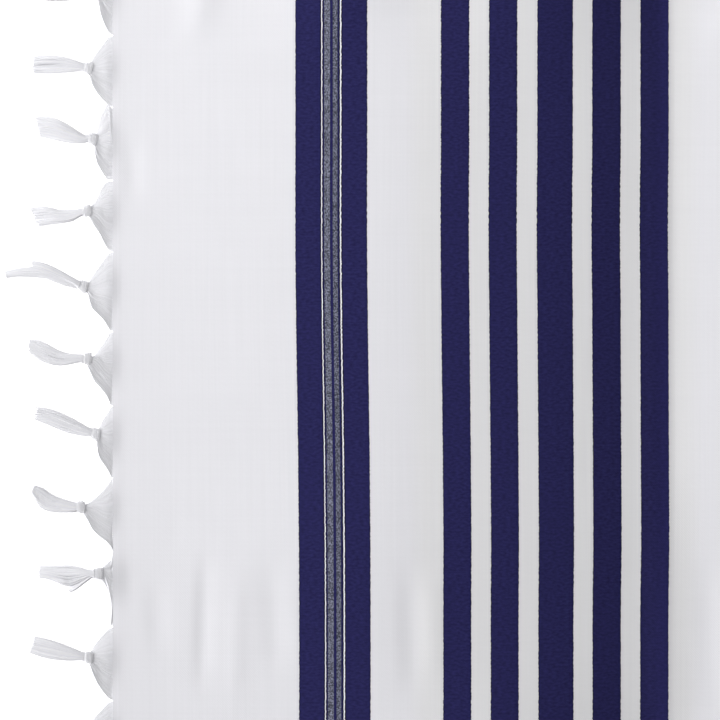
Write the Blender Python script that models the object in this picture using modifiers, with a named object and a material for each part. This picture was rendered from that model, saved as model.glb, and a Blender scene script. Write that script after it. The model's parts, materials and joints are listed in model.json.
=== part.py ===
"""Striped prayer shawl, laid out flat.

One woven cloth, a row of tied tassels along each short end, and a knotted ritual fringe
through an eyelet near each corner. Metres, +Z up. The cloth's length runs along X. The
origin is on the table under the middle of the cloth.
"""
import math

import bmesh
import bpy
from mathutils import Vector

MM = 0.001

# The woven cloth.
CLOTH_LENGTH = 1.700
CLOTH_WIDTH = 0.600
CLOTH_WALL = 1.2 * MM
SEAM_GAP = 0.3 * MM
TABLE_GAP = 0.15 * MM

# Folds across the cloth, from its middle crease out to each short end: how far out the fold
# lies and how high its underside is (mm), the slope on its inner and its outer side, and the
# number of grid steps to the next fold. Unequal slopes make a pressed crease.
FOLD_COLUMNS = ("out", "height", "slope_in", "slope_out", "steps")
FOLDS = (
    (0, 0.0, -0.060, 0.060, 2),
    (90, 3.2, 0.000, 0.000, 2),
    (190, 0.6, -0.010, 0.010, 2),
    (285, 4.4, 0.070, -0.070, 2),
    (380, 0.0, 0.000, 0.000, 1),
    (445, 0.0, 0.000, 0.000, 2),
    (520, 2.6, 0.000, 0.000, 2),
    (571, 0.0, -0.065, 0.060, 2),
    (620, 2.6, 0.044, 0.044, 2),
    (680, 4.4, 0.018, 0.018, 1),
    (712, 4.7, 0.000, 0.000, 1),
    (748, 4.0, -0.032, -0.032, 2),
    (800, 2.1, -0.038, -0.038, 1),
    (832, 0.9, -0.034, -0.034, 1),
    (850, 0.3, -0.030, -0.030, 0),
)

# Soft swells of limited size, seen from an end with the middle of the cloth behind: place
# out from the middle and across, half sizes both ways, and height (mm).
SWELL_COLUMNS = ("out", "across", "half_out", "half_across", "height")
SWELLS = (
    (640, 235, 75, 90, 2.6),
    (655, -200, 80, 95, 2.2),
    (740, -250, 60, 85, 2.0),
    (735, 240, 55, 78, 1.8),
    (300, 150, 60, 140, 3.0),
    (230, -140, 70, 150, 2.6),
    (95, 60, 70, 170, 2.4),
    (100, -230, 60, 90, 2.0),
)
GRID_ROWS = 20

# Eyelets for the ritual fringes, and the lift of the cloth where a string runs under it.
EYELET_INSET = 42.0 * MM
EYELET_RADIUS = 4.0 * MM
EYELET_SIDES = 12
CORNER_LIFT = 1.3 * MM
CORNER_LIFT_HALF = 42.0 * MM
CORNER_LIFT_REACH = 50.0 * MM

# Tassels of the left end from the back to the front: width of warp that each gathers, place
# of its knot out from the woven edge and across, length of its tail from the knot, the
# tail's direction where it starts and ends (degrees towards the back), the spread of its
# tip, and how much longer its front locks are than its back ones (mm).
TASSEL_COLUMNS = ("width", "out", "shift", "tail", "turn_start", "turn_end", "spread", "uneven")
TASSELS = (
    (37.40, 12.4, -1.5, 28.0, 12, 4, 9.0, 2.0),
    (36.20, 14.6, 1.2, 30.0, 6, 14, 8.5, -3.0),
    (37.80, 9.8, 3.0, 29.0, -6, 10, 9.5, 0.0),
    (36.00, 13.1, 1.6, 27.0, 10, -4, 9.0, 3.0),
    (36.65, 10.7, 2.6, 27.3, 20, 0, 9.0, 0.0),
    (35.70, 13.7, 2.7, 27.0, -8, 0, 10.5, 0.0),
    (40.00, 15.5, 3.0, 33.0, 20, 8, 10.5, 14.0),
    (37.00, 13.5, 5.3, 29.0, -4, 22, 10.0, 0.0),
    (36.00, 9.2, 4.2, 31.6, 19, 12, 9.0, 2.0),
    (36.85, 16.7, 4.0, 25.0, 4, 42, 9.5, 0.0),
    (37.60, 7.9, 8.0, 29.0, 0, 3, 9.0, 0.0),
    (36.80, 12.9, 3.4, 28.0, 9, 16, 9.0, 2.0),
    (38.10, 15.1, 1.8, 30.0, -5, 8, 9.5, 2.0),
    (36.90, 10.4, 4.6, 27.0, 14, 2, 10.0, 0.0),
    (37.70, 13.8, 0.9, 29.0, 3, 20, 9.0, -2.0),
    (36.90, 11.6, 2.2, 28.0, -10, 6, 9.0, 3.0),
)
# The right end has the same tassels in another order.
RIGHT_END_STEP = 7
RIGHT_END_START = 5

# Sections of a tassel's fan: share of the way to the knot, share of the tassel's width,
# thickness and height of the underside (mm).
FAN_COLUMNS = ("way", "width", "thick", "base")
FAN = (
    (0.00, 0.985, 1.0, 0.15),
    (0.30, 0.800, 1.2, 0.30),
    (0.62, 0.370, 2.0, 0.50),
)
# Sections of its knot: distance past the knot's middle, width, thickness and base (mm).
KNOT_COLUMNS = ("past", "width", "thick", "base")
KNOT = (
    (-3.4, 4.8, 3.2, 0.60),
    (-1.9, 6.2, 5.0, 0.15),
    (1.7, 6.4, 5.2, 0.15),
    (3.6, 4.8, 3.6, 0.40),
)
SECTION_INSET = 0.6
INNER_COLUMN = 0.3
# Sections of the locks in a tail: share of the lock's length, share of the tip's spread,
# half width and half thickness, and the middle's height in the lower and the upper layer.
LOCK_COLUMNS = ("way", "spread", "half_width", "half_thick", "low", "high")
LOCK = (
    (0.36, 0.62, 1.00, 0.80, 1.05, 3.10),
    (0.72, 0.90, 0.95, 0.68, 0.92, 2.85),
    (1.00, 1.00, 0.70, 0.45, 0.75, 1.45),
)
LOCK_LENGTHS = (0.94, 1.00, 0.90, 0.98, 0.92, 0.96)

# Ritual fringe: a loop of four strings through the eyelet, a wound stem with four double
# knots, and a fifth knot that holds eight free strands.
STEM_LENGTH = 92.0
STEM_CLEARANCE = 2.4
STEM_RADIUS = 2.4
STEM_HEIGHT = 4.2
STEM_TURN_START = 22.0
STEM_TURN_END = 78.0
DOUBLE_KNOTS = (0.0, 17.0, 36.0, 60.0, 88.5)
DOUBLE_KNOT_RADIUS = 3.9
DOUBLE_KNOT_HALF = 3.0
STRAND_LENGTH = 200.0
STRAND_RADIUS = 0.8
STRAND_STEPS = 7
STRAND_HEIGHT = 0.6
STRAND_SPREAD_START = 2.4
STRAND_SPREAD_END = 6.4
STRAND_TURN_END = 97.0
STRAND_LENGTHS = (0.93, 1.00, 0.96, 1.03, 0.98, 0.92, 1.01, 0.95)
STRAND_SWAYS = (1.2, 0.6, 1.4, 0.9, 0.2, -0.5, 0.1, -1.0)
# Place of each eighth's strand from the front to the back of the fan that they lie in.
STRAND_ORDER = (5, 4, 2, 0, 1, 3, 6, 7)
LOOP_HALF_WIDTH = 2.0
LOOP_HALF_THICK = 0.7

CLOTH_COLOUR = (0.80, 0.80, 0.83)
YARN_COLOUR = (0.78, 0.78, 0.81)


def rows_of(columns, table):
    return [dict(zip(columns, row)) for row in table]


FOLD_ROWS = rows_of(FOLD_COLUMNS, FOLDS)
SWELL_ROWS = rows_of(SWELL_COLUMNS, SWELLS)


def smooth(share):
    share = max(0.0, min(1.0, share))
    return share * share * (3.0 - 2.0 * share)


def bump(distance, half):
    """A soft bump that is exactly flat beyond its half size."""
    return smooth(1.0 - abs(distance) / half)


def fold_height(out):
    """Height of the underside over the folds, by distance from the middle (mm)."""
    for inner, outer in zip(FOLD_ROWS, FOLD_ROWS[1:]):
        if out <= outer["out"]:
            break
    span = outer["out"] - inner["out"]
    share = min(1.0, (out - inner["out"]) / span)
    squared, cubed = share * share, share * share * share
    return (
        (2.0 * cubed - 3.0 * squared + 1.0) * inner["height"]
        + (cubed - 2.0 * squared + share) * span * inner["slope_out"]
        + (3.0 * squared - 2.0 * cubed) * outer["height"]
        + (cubed - squared) * span * outer["slope_in"]
    )


def underside(x, y):
    """Height of the cloth's underside over the table, in metres."""
    out = abs(x) / MM
    across = (y if x < 0.0 else -y) / MM
    height = fold_height(out)
    for swell in SWELL_ROWS:
        part_out = bump(out - swell["out"], swell["half_out"])
        height += swell["height"] * part_out * bump(across - swell["across"], swell["half_across"])
    eyelet_x = CLOTH_LENGTH / 2 - EYELET_INSET
    eyelet_y = CLOTH_WIDTH / 2 - EYELET_INSET
    inwards = max(0.0, eyelet_y - EYELET_RADIUS * 3.0 - abs(y))
    lift = CORNER_LIFT * bump(abs(x) - eyelet_x, CORNER_LIFT_HALF) * bump(inwards, CORNER_LIFT_REACH)
    return max(0.0, height) * MM + lift


def material(name, colour, roughness):
    made = bpy.data.materials.new(name)
    made.use_nodes = True
    shader = made.node_tree.nodes["Principled BSDF"]
    shader.inputs["Base Color"].default_value = (*colour, 1.0)
    shader.inputs["Roughness"].default_value = roughness
    shader.inputs["Metallic"].default_value = 0.0
    return made


def add_object(name, bm, collection, surface):
    """Make a mesh object from a bmesh whose points are already in place."""
    bmesh.ops.recalc_face_normals(bm, faces=bm.faces)
    mesh = bpy.data.meshes.new(name)
    bm.to_mesh(mesh)
    bm.free()
    made = bpy.data.objects.new(name, mesh)
    made.data.materials.append(surface)
    collection.objects.link(made)
    return made


def grid_stations():
    """Grid lines along the length: every fold, and even steps between folds."""
    outward = []
    for inner, outer in zip(FOLD_ROWS, FOLD_ROWS[1:]):
        span = outer["out"] - inner["out"]
        for step in range(inner["steps"]):
            outward.append((inner["out"] + span * step / inner["steps"]) * MM)
    outward.append(CLOTH_LENGTH / 2)
    return [-x for x in reversed(outward[1:])] + outward


def make_cloth(parts, cutters):
    """The woven cloth: a grid on the folds, thickened upwards, with four eyelets cut."""
    bm = bmesh.new()
    stations = grid_stations()
    lines = []
    for x in stations:
        line = []
        for row in range(GRID_ROWS + 1):
            y = CLOTH_WIDTH * (row / GRID_ROWS - 0.5)
            line.append(bm.verts.new((x, y, underside(x, y))))
        lines.append(line)
    for line, following in zip(lines, lines[1:]):
        for row in range(GRID_ROWS):
            bm.faces.new((line[row], following[row], following[row + 1], line[row + 1]))
    mesh = bpy.data.meshes.new("shawl")
    bm.to_mesh(mesh)
    bm.free()
    cloth = bpy.data.objects.new("shawl", mesh)
    cloth.data.materials.append(material("cloth", CLOTH_COLOUR, 0.8))
    parts.objects.link(cloth)

    wall = cloth.modifiers.new("wall", "SOLIDIFY")
    wall.thickness = CLOTH_WALL
    wall.offset = 1.0
    for side_x, side_y in corners():
        eyelet = make_eyelet_cutter(side_x, side_y, cutters)
        cut = cloth.modifiers.new("eyelet", "BOOLEAN")
        cut.operation = "DIFFERENCE"
        cut.object = eyelet
    return cloth


def corners():
    return [(side_x, side_y) for side_x in (-1, 1) for side_y in (1, -1)]


def make_eyelet_cutter(side_x, side_y, cutters):
    bm = bmesh.new()
    bmesh.ops.create_cone(
        bm,
        cap_ends=True,
        segments=EYELET_SIDES,
        radius1=EYELET_RADIUS,
        radius2=EYELET_RADIUS,
        depth=30.0 * MM,
    )
    x = side_x * (CLOTH_LENGTH / 2 - EYELET_INSET)
    y = side_y * (CLOTH_WIDTH / 2 - EYELET_INSET)
    bmesh.ops.translate(bm, verts=bm.verts, vec=(x, y, 0.0))
    mesh = bpy.data.meshes.new("eyelet_cutter")
    bm.to_mesh(mesh)
    bm.free()
    cutter = bpy.data.objects.new("eyelet_cutter", mesh)
    cutter.hide_render = True
    cutter.display_type = "WIRE"
    cutters.objects.link(cutter)
    return cutter


def arc(turn_start, turn_end, length, distance):
    """Place and direction after a distance along a path that turns evenly (degrees, mm)."""
    start = math.radians(turn_start)
    bend = math.radians(turn_end - turn_start) / length
    heading = start + bend * distance
    if abs(bend) < 1e-6:
        return distance * math.cos(start), distance * math.sin(start), heading
    return (
        (math.sin(heading) - math.sin(start)) / bend,
        (math.cos(start) - math.cos(heading)) / bend,
        heading,
    )


def sideways(heading):
    return Vector((-math.sin(heading), math.cos(heading), 0.0))


def add_points(bm, points, placed):
    """Add points given in a piece's own millimetres; placed turns them into metres."""
    return [bm.verts.new(placed(point)) for point in points]


def join_rings(bm, ring, following):
    for index in range(len(ring)):
        after = (index + 1) % len(ring)
        bm.faces.new((ring[index], ring[after], following[after], following[index]))


def section(middle, heading, half_width, thick, base):
    """A flattened section of a tassel as three rows of four points, from below to above."""
    side = sideways(heading)
    outer = half_width - min(SECTION_INSET, 0.22 * half_width)
    inner = INNER_COLUMN * half_width
    rows = (
        ((-outer, 0.12), (-inner, 0.0), (inner, 0.0), (outer, 0.12)),
        ((-half_width, 0.5), (-inner, 0.5), (inner, 0.5), (half_width, 0.5)),
        ((-outer, 0.85), (-inner, 1.0), (inner, 1.0), (outer, 0.85)),
    )
    made = []
    for row in rows:
        made.append([middle + side * across + Vector((0, 0, base + up * thick)) for across, up in row])
    return made


def around(rows):
    """The ten points round a section, without its two inner ones."""
    below, between, above = rows
    return below + [between[3]] + above[::-1] + [between[0]]


def grid_of(ring, inner):
    """The rows of a section again, from the ring's vertices and the two inner ones."""
    below = ring[0:4]
    above = ring[5:9][::-1]
    between = [ring[9], *inner, ring[4]]
    return [below, between, above]


def tassel_sections(form):
    """Sections of a tassel from the woven edge to the end of its knot."""
    made = []
    knot_start = form["out"] + KNOT[0][0]
    for row in rows_of(FAN_COLUMNS, FAN):
        out = SEAM_GAP / MM + row["way"] * (knot_start - SEAM_GAP / MM)
        way = out / form["out"]
        middle = Vector((out, form["shift"] * smooth(way), 0.0))
        heading = math.radians(form["turn_start"]) * way * row["way"]
        half_width = form["width"] * row["width"] / 2
        made.append(section(middle, heading, half_width, row["thick"], row["base"]))
    for row in rows_of(KNOT_COLUMNS, KNOT):
        heading = math.radians(form["turn_start"])
        along = Vector((math.cos(heading), math.sin(heading), 0.0))
        middle = Vector((form["out"], form["shift"], 0.0)) + along * row["past"]
        made.append(section(middle, heading, row["width"] / 2, row["thick"], row["base"]))
    return made


def lock_ring(form, order, row, upper):
    """Four corners of one lock at one of its sections."""
    share = (order - 2.5) / 2.5
    length = form["tail"] * LOCK_LENGTHS[order]
    length += form["uneven"] / 2 * (1.0 if share < 0.0 else -1.0)
    start = KNOT[-1][0]
    distance = start + (length - start) * row["way"]
    x, y, heading = arc(form["turn_start"], form["turn_end"], form["tail"], distance)
    side = sideways(heading)
    middle = Vector((form["out"] + x, form["shift"] + y, 0.0))
    middle += side * (form["spread"] / 2 * share * row["spread"])
    middle.z = row["high"] if upper else row["low"]
    wide = side * row["half_width"]
    high = Vector((0.0, 0.0, row["half_thick"]))
    return [middle - wide - high, middle + wide - high, middle + wide + high, middle - wide + high]


def make_tassel(name, form, slot, end, parts, surface):
    """A tassel: warp gathered in a fan, a knot, and six locks."""

    def placed(point):
        return (
            end * (CLOTH_LENGTH / 2 + point.x * MM),
            -end * (slot + point.y) * MM,
            point.z * MM,
        )

    bm = bmesh.new()
    sections = tassel_sections(form)
    rings = [add_points(bm, around(rows), placed) for rows in sections]
    for ring, following in zip(rings, rings[1:]):
        join_rings(bm, ring, following)
    bm.faces.new(rings[0])
    roots = grid_of(rings[-1], add_points(bm, sections[-1][1][1:3], placed))
    lock_rows = rows_of(LOCK_COLUMNS, LOCK)
    for column in range(3):
        for layer in range(2):
            ring = [
                roots[layer][column],
                roots[layer][column + 1],
                roots[layer + 1][column + 1],
                roots[layer + 1][column],
            ]
            order = 2 * column + layer
            for row in lock_rows:
                following = add_points(bm, lock_ring(form, order, row, layer == 1), placed)
                join_rings(bm, ring, following)
                ring = following
            bm.faces.new(ring)
    return add_object(name, bm, parts, surface)


def make_tassels(parts, surface):
    forms = rows_of(TASSEL_COLUMNS, TASSELS)
    count = len(forms)
    shuffled = [forms[(RIGHT_END_START + RIGHT_END_STEP * index) % count] for index in range(count)]
    for side, end, row in (("left", -1, forms), ("right", 1, shuffled)):
        edge = sum(form["width"] for form in row) / 2
        for index, form in enumerate(row):
            slot = edge - form["width"] / 2
            edge -= form["width"]
            make_tassel(f"tassel_{side}_{index + 1:02d}", form, slot, end, parts, surface)


def octagon(middle, heading, radius):
    side = sideways(heading)
    points = []
    for index in range(8):
        angle = math.radians(45.0 * index + 22.5)
        points.append(middle + side * (radius * math.cos(angle)) + Vector((0, 0, radius * math.sin(angle))))
    return points


def stem_start():
    """Distance of the stem's start from the eyelet, just clear of the cloth's edge."""
    return (EYELET_INSET + SEAM_GAP) / MM + STEM_CLEARANCE


def knot_stations(start):
    """Distances along the stem and the radius at each, over one double knot."""
    return [
        (start, STEM_RADIUS),
        (start + DOUBLE_KNOT_HALF, DOUBLE_KNOT_RADIUS),
        (start + 2.0 * DOUBLE_KNOT_HALF, STEM_RADIUS),
    ]


def turned_rings(bm, stations, placed):
    """Join octagons along the stem's path and return the first and the last of them."""
    rings = []
    for distance, radius in stations:
        x, y, heading = arc(STEM_TURN_START, STEM_TURN_END, STEM_LENGTH, distance)
        middle = Vector((stem_start() + x, y, STEM_HEIGHT))
        rings.append(add_points(bm, octagon(middle, heading, radius), placed))
    for ring, following in zip(rings, rings[1:]):
        join_rings(bm, ring, following)
    return rings[0], rings[-1]


def loop_points():
    """The loop's middle line: out over the cloth's edge, through the eyelet and back below."""
    eyelet_height = underside(CLOTH_LENGTH / 2 - EYELET_INSET, CLOTH_WIDTH / 2 - EYELET_INSET)
    top = (eyelet_height + CLOTH_WALL + SEAM_GAP) / MM + LOOP_HALF_THICK
    low = TABLE_GAP / MM + LOOP_HALF_THICK
    start = stem_start()
    return (
        (start - 5.0, top + 0.3),
        (start - 14.0, top + 0.2),
        (7.0, top + 0.2),
        (3.0, top + 0.1),
        (0.9, top - 0.9),
        (0.0, top - 2.1),
        (1.2, low + 0.7),
        (6.0, low),
        (start - 14.0, low),
        (start - 2.7, low + 0.1),
    )


def add_loop(bm, ring, placed):
    """Bridge the upper and the lower third of the stem's first ring by the loop."""
    ring_up = [ring[3], ring[2], ring[1], ring[0]]
    ring_down = [ring[4], ring[5], ring[6], ring[7]]
    bm.faces.new((ring[0], ring[3], ring[4], ring[7]))
    points = loop_points()
    start = ring_up
    for index, (out, up) in enumerate(points):
        before = points[max(0, index - 1)]
        after = points[min(len(points) - 1, index + 1)]
        along = Vector((after[0] - before[0], 0.0, after[1] - before[1])).normalized()
        outside = Vector((along.z, 0.0, -along.x)) * LOOP_HALF_THICK
        across = Vector((0.0, LOOP_HALF_WIDTH, 0.0))
        middle = Vector((out, 0.0, up))
        corners_here = (
            middle - across - outside * 0.9,
            middle - across * 0.8 + outside,
            middle + across * 0.8 + outside,
            middle + across - outside * 0.9,
        )
        following = add_points(bm, corners_here, placed)
        join_rings(bm, start, following)
        start = following
    join_rings(bm, start, ring_down)


def strand_place(order, rise, distance, length):
    """Middle of a free strand after a distance from the stem; rise is -1 below to 1 above."""
    way = distance / length
    share = order - 3.5
    spread = STRAND_SPREAD_START + (STRAND_SPREAD_END - STRAND_SPREAD_START) * smooth(way)
    x, y, heading = arc(STEM_TURN_END, STRAND_TURN_END, STRAND_LENGTH, distance)
    settle = smooth(distance / 18.0)
    lateral = share * spread * (0.45 + 0.55 * settle)
    lateral += STRAND_SWAYS[order] * math.sin(math.pi * way * 1.6)
    height = STEM_HEIGHT + 1.7 * rise
    late = smooth((distance - 7.0 * (1.0 + rise)) / 22.0)
    height += (STRAND_HEIGHT + TABLE_GAP / MM - height) * late
    return Vector((x, y, 0.0)) + sideways(heading) * lateral + Vector((0, 0, height)), heading


def add_strands(bm, ring, middle, base, placed):
    """Eight free strands, each grown from one eighth of the stem's end."""
    for index, order in enumerate(STRAND_ORDER):
        root = [middle, ring[index], ring[(index + 1) % 8]]
        rise = math.sin(math.radians(45.0 * (index + 1)))
        length = STRAND_LENGTH * STRAND_LENGTHS[order]
        for step in range(1, STRAND_STEPS + 1):
            way = step / STRAND_STEPS
            distance = length * (0.3 * way + 0.7 * way * way)
            place, heading = strand_place(order, rise, distance, length)
            side = sideways(heading)
            spin = math.radians(45.0 * index + 22.5)
            corners_here = []
            for turn in (180.0, -60.0, 60.0):
                angle = spin + math.radians(22.5 + turn)
                around_it = side * math.cos(angle) + Vector((0.0, 0.0, math.sin(angle) * 0.75))
                corners_here.append(base + place + around_it * STRAND_RADIUS)
            following = add_points(bm, corners_here, placed)
            join_rings(bm, root, following)
            root = following
        bm.faces.new(root)


def make_ritual_fringe(name, side_x, side_y, parts, surface):
    """A loop and wound stem, and the last knot with its eight strands, curving to the middle."""
    eyelet_x = side_x * (CLOTH_LENGTH / 2 - EYELET_INSET)
    eyelet_y = side_y * (CLOTH_WIDTH / 2 - EYELET_INSET)

    def placed(point):
        return (
            eyelet_x - side_x * point.y * MM,
            eyelet_y + side_y * point.x * MM,
            point.z * MM,
        )

    stem = bmesh.new()
    *stem_knots, last_knot = DOUBLE_KNOTS
    stations = [station for start in stem_knots for station in knot_stations(start)]
    stations.append((last_knot - SEAM_GAP / MM, STEM_RADIUS))
    first, last = turned_rings(stem, stations, placed)
    add_loop(stem, first, placed)
    stem.faces.new(last)
    add_object(f"{name}_stem", stem, parts, surface)

    strands = bmesh.new()
    stations = knot_stations(last_knot)
    first, last = turned_rings(strands, stations, placed)
    strands.faces.new(first)
    x, y = arc(STEM_TURN_START, STEM_TURN_END, STEM_LENGTH, stations[-1][0])[:2]
    base = Vector((stem_start() + x, y, 0.0))
    (tip,) = add_points(strands, [base + Vector((0.0, 0.0, STEM_HEIGHT))], placed)
    add_strands(strands, last, tip, base, placed)
    add_object(f"{name}_strands", strands, parts, surface)


def main():
    for existing in list(bpy.data.objects):
        bpy.data.objects.remove(existing, do_unlink=True)
    parts = bpy.data.collections.new("prayer_shawl")
    cutters = bpy.data.collections.new("cutters")
    bpy.context.scene.collection.children.link(parts)
    bpy.context.scene.collection.children.link(cutters)
    make_cloth(parts, cutters)
    make_tassels(parts, material("fringe_yarn", YARN_COLOUR, 0.85))
    strings = material("ritual_string", YARN_COLOUR, 0.8)
    for side_x, side_y in corners():
        name = f"tzitzit_{'left' if side_x < 0 else 'right'}_{'back' if side_y > 0 else 'front'}"
        make_ritual_fringe(name, side_x, side_y, parts, strings)


main()
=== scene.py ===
"""Striped prayer shawl with tied tassels and knotted ritual fringes, laid out flat."""
import itertools
import json
import random
from collections import namedtuple
from math import copysign, cos, hypot, pi, radians, sin, sqrt, tan, tau

import bmesh
import bpy
import numpy
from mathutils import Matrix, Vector

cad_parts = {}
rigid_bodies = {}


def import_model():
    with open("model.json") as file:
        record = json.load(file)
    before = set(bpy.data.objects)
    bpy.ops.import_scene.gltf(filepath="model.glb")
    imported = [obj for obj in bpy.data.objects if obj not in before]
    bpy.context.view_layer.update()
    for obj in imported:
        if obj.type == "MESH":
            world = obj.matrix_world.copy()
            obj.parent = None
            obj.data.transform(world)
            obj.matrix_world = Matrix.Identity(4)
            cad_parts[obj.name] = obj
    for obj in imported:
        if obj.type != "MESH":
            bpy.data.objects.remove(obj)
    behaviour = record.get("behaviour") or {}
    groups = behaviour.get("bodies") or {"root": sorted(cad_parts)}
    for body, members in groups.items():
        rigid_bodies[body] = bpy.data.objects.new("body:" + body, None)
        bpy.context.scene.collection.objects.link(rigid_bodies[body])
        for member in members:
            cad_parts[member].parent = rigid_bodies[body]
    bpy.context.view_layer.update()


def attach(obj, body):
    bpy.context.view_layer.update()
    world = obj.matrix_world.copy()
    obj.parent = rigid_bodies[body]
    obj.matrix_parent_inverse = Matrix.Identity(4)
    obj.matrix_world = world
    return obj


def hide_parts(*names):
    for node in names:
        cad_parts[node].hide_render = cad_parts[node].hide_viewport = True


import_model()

bl_info = {
    "name": "Prayer shawl",
    "version": (1, 0, 0),
    "blender": (4, 5, 0),
    "location": "3D View > Sidebar > Prayer shawl",
    "description": "A striped, fringed prayer shawl laid out flat",
    "category": "Add Mesh",
}

MM = 0.001
ROOT = "root"

# The woven cloth and its eyelets, in metres.
CLOTH_LENGTH = 1.700
CLOTH_WIDTH = 0.600
CLOTH_WALL = 1.2 * MM
SEAM_GAP = 0.3 * MM
TABLE_GAP = 0.15 * MM
LOWEST_CLOTH = 0.05 * MM
EYELET_INSET = 42.0 * MM
EYELET_X = CLOTH_LENGTH / 2 - EYELET_INSET
EYELET_Y = CLOTH_WIDTH / 2 - EYELET_INSET
EYELET_RADIUS = 4.0 * MM
CORNER_LIFT = 1.3 * MM
CORNER_LIFT_HALF = 42.0 * MM
CORNER_LIFT_REACH = 50.0 * MM

# Folds across the cloth, from its middle crease out to each short end: how far out the fold
# lies and how high its underside is (mm), and the slope on its inner and its outer side.
FOLDS = (
    (0, 0, -0.06, 0.06), (90, 3.2, 0, 0), (190, 0.6, -0.01, 0.01), (285, 4.4, 0.07, -0.07),
    (380, 0, 0, 0), (445, 0, 0, 0), (500, 2.3, 0, 0), (545, 1.2, -0.052, -0.052),
    (571, 0, -0.034, 0.048), (620, 3, 0.05, 0.05), (680, 5.2, 0.024, 0.024), (712, 5.6, 0, 0),
    (748, 4.8, -0.036, -0.036), (800, 2.6, -0.044, -0.044), (832, 1.15, -0.04, -0.04),
    (850, 0.45, -0.034, -0.034),
)

# Soft swells of limited size, seen from an end with the middle of the cloth behind: place
# out from the middle and across, half sizes both ways, and height (mm).
SWELLS = (
    (640, 235, 75, 90, 2.6), (655, -200, 80, 95, 2.2), (740, -250, 60, 85, 2),
    (735, 240, 55, 78, 1.8), (300, 150, 60, 140, 3), (230, -140, 70, 150, 2.6),
    (95, 60, 70, 170, 2.4), (100, -230, 60, 90, 2),
)

# Fine soft wrinkles: place of both ends of the line, its half width, and its height, below
# zero for a trough (mm).
WRINKLES = (
    (578, -320, 578, 320, 9, 0.75), (571, -15, 571, -320, 15, 0.45),
    (574, -15, 574, -320, 12, 0.28), (680, -175, 680, -330, 70, 1.2), (845, -60, 470, -60, 45, 0.8),
    (803, -66, 806, -150, 7, -0.36), (787, -72, 790, -160, 8, 0.22),
    (771, -70, 768, -140, 10, -0.3), (829, -84, 826, -128, 9, -0.24),
    (702, -74, 700, -150, 9, -0.35), (690, -78, 688, -140, 8, 0.15),
    (552, -64, 550, -170, 10, -0.3), (822, -64, 816, -59, 4, -0.12), (841, 140, 839, 98, 8, -0.25),
    (760, 190, 690, 214, 13, 0.5), (812, 176, 796, 246, 12, 0.45), (640, -182, 600, -238, 15, 0.6),
    (560, 170, 480, 260, 16, 0.7), (470, -60, 455, -170, 16, 0.55), (420, 40, 410, 190, 18, 0.6),
    (350, -240, 250, -190, 16, 0.7), (200, 210, 150, 120, 17, 0.7), (60, -120, 40, 10, 16, 0.55),
)
WRINKLE_FADE = 3.0

# Grid lines of the cloth, as the end of each run and its number of steps (mm), from the
# middle outwards; the finer lines lie round the eyelet, whose opening they form.
OUT_RUNS = ((520, 46), (796, 108))
OUT_LAST_RUNS = ((838, 9), (850, 8))
ACROSS_RUNS = ((246, 48),)
ACROSS_LAST_RUNS = ((300, 6),)
EYELET_LINES = (-8.0, -5.6, -3.6, -1.8, 0.0, 1.8, 3.6, 5.6, 8.0, 12.0)
EYELET_OPENING = 3.6
EYELET_BLEND = 12.0
EYELET_TOLERANCE = 1e-3

# Blue weft stripes as their inner and outer edge, out from the middle (mm), and the narrow
# stripes woven into the widest one. The ground is duller among the stripes.
BLUE_STRIPES = (
    (572.62, 586.8), (596.6, 610.95), (620.6, 638.35), (648.33, 662.4), (672.22, 686.35),
    (722.95, 758.8),
)
PEARL_STRIPES = ((735.91, 736.53), (745.40, 745.86))
LIGHT_GREY_STRIPES = ((741.5, 744.4),)
DARK_GREY_STRIPES = ((737.8, 740.1),)
DULL_GROUND = ((560.0, 700.0),)
# Drift of the stripes towards the middle of the cloth, for the wide band and for the
# innermost stripe, at even steps from the back to the front, and where it sets in (mm).
DRIFT_FIRST = 133.0
DRIFT_STEP = 40.0
DRIFT = (
    (0.05, 0.4), (0, 0), (0.27, 0.3), (0.85, 0.42), (1.42, 0.55), (1.76, 0.6), (1.95, 0.2),
)
DRIFT_INNERMOST, DRIFT_BLEND = 580.0, 160.0
DRIFT_START, DRIFT_RISE = 200.0, 300.0
DRIFT_END, DRIFT_FALL = 850.0, 60.0

# The weave: distance of the warp ends and of the picks, depth of the stripes' teeth and of
# their slower wobble, softness of the stripes' edges, and how far the slubs are drawn out,
# how many of them lie in a millimetre and how finely they break up.
WARP_PITCH = 0.61
WEFT_PITCH = 0.55
TOOTH, WOBBLE, WOBBLE_DRAW, WOBBLE_SCALE = 0.26, 0.24, 0.02, 0.6
STRIPE_BLUR, GREY_BLUR, DULL_BLUR = 0.08, 0.10, 6.0
SLUB_DRAW, WEFT_SLUB_SCALE, WARP_SLUB_SCALE, CLOUD_SCALE, FINE = 0.012, 0.9, 0.8, 0.045, 3.0
# Lightness of the ground, what each unevenness adds to it, and where it does so (mm).
GROUND, WEFT_SLUBS, WARP_SLUBS, CLOUDS = 0.940, 0.060, 0.030, 0.030
BESIDE_BLUE, BLUE_SHADOW = -0.045, (-1.8, -0.2)
EDGE_PICKS, EDGE_PICK_PITCH, EDGE_PICK_SHIFT, EDGE_PICK_ZONE = 0.14, 0.45, 0.2, (846.8, 847.6)
# Lightness of the blue, its mottling, what its rims, its lines beside the pearly stripes and
# a painted highlight by the crease add to it, its painted shade innermost, and where (mm).
BLUE_BASE, MOTTLE, MOTTLE_DRAW, MOTTLE_SCALE = 0.33, 1.40, 0.5, 0.95
RIM, RIM_LEAST, RIM_ZONE = -0.78, 0.3, (0.30, 0.75)
BESIDE_PEARL, PEARL_SHADOW = -0.75, (-0.75, -0.45)
CREASE_HIGHLIGHT, CREASE_HIGHLIGHT_ZONE, INNER_STRIPE_SHADE, INNER_STRIPE_SHADE_ZONE = 0.5, (573.5, 581.0), 0.80, (575.0, 675.0)
PEARL_LEAST, PEARL_BEADS = 0.95, 0.40
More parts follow.
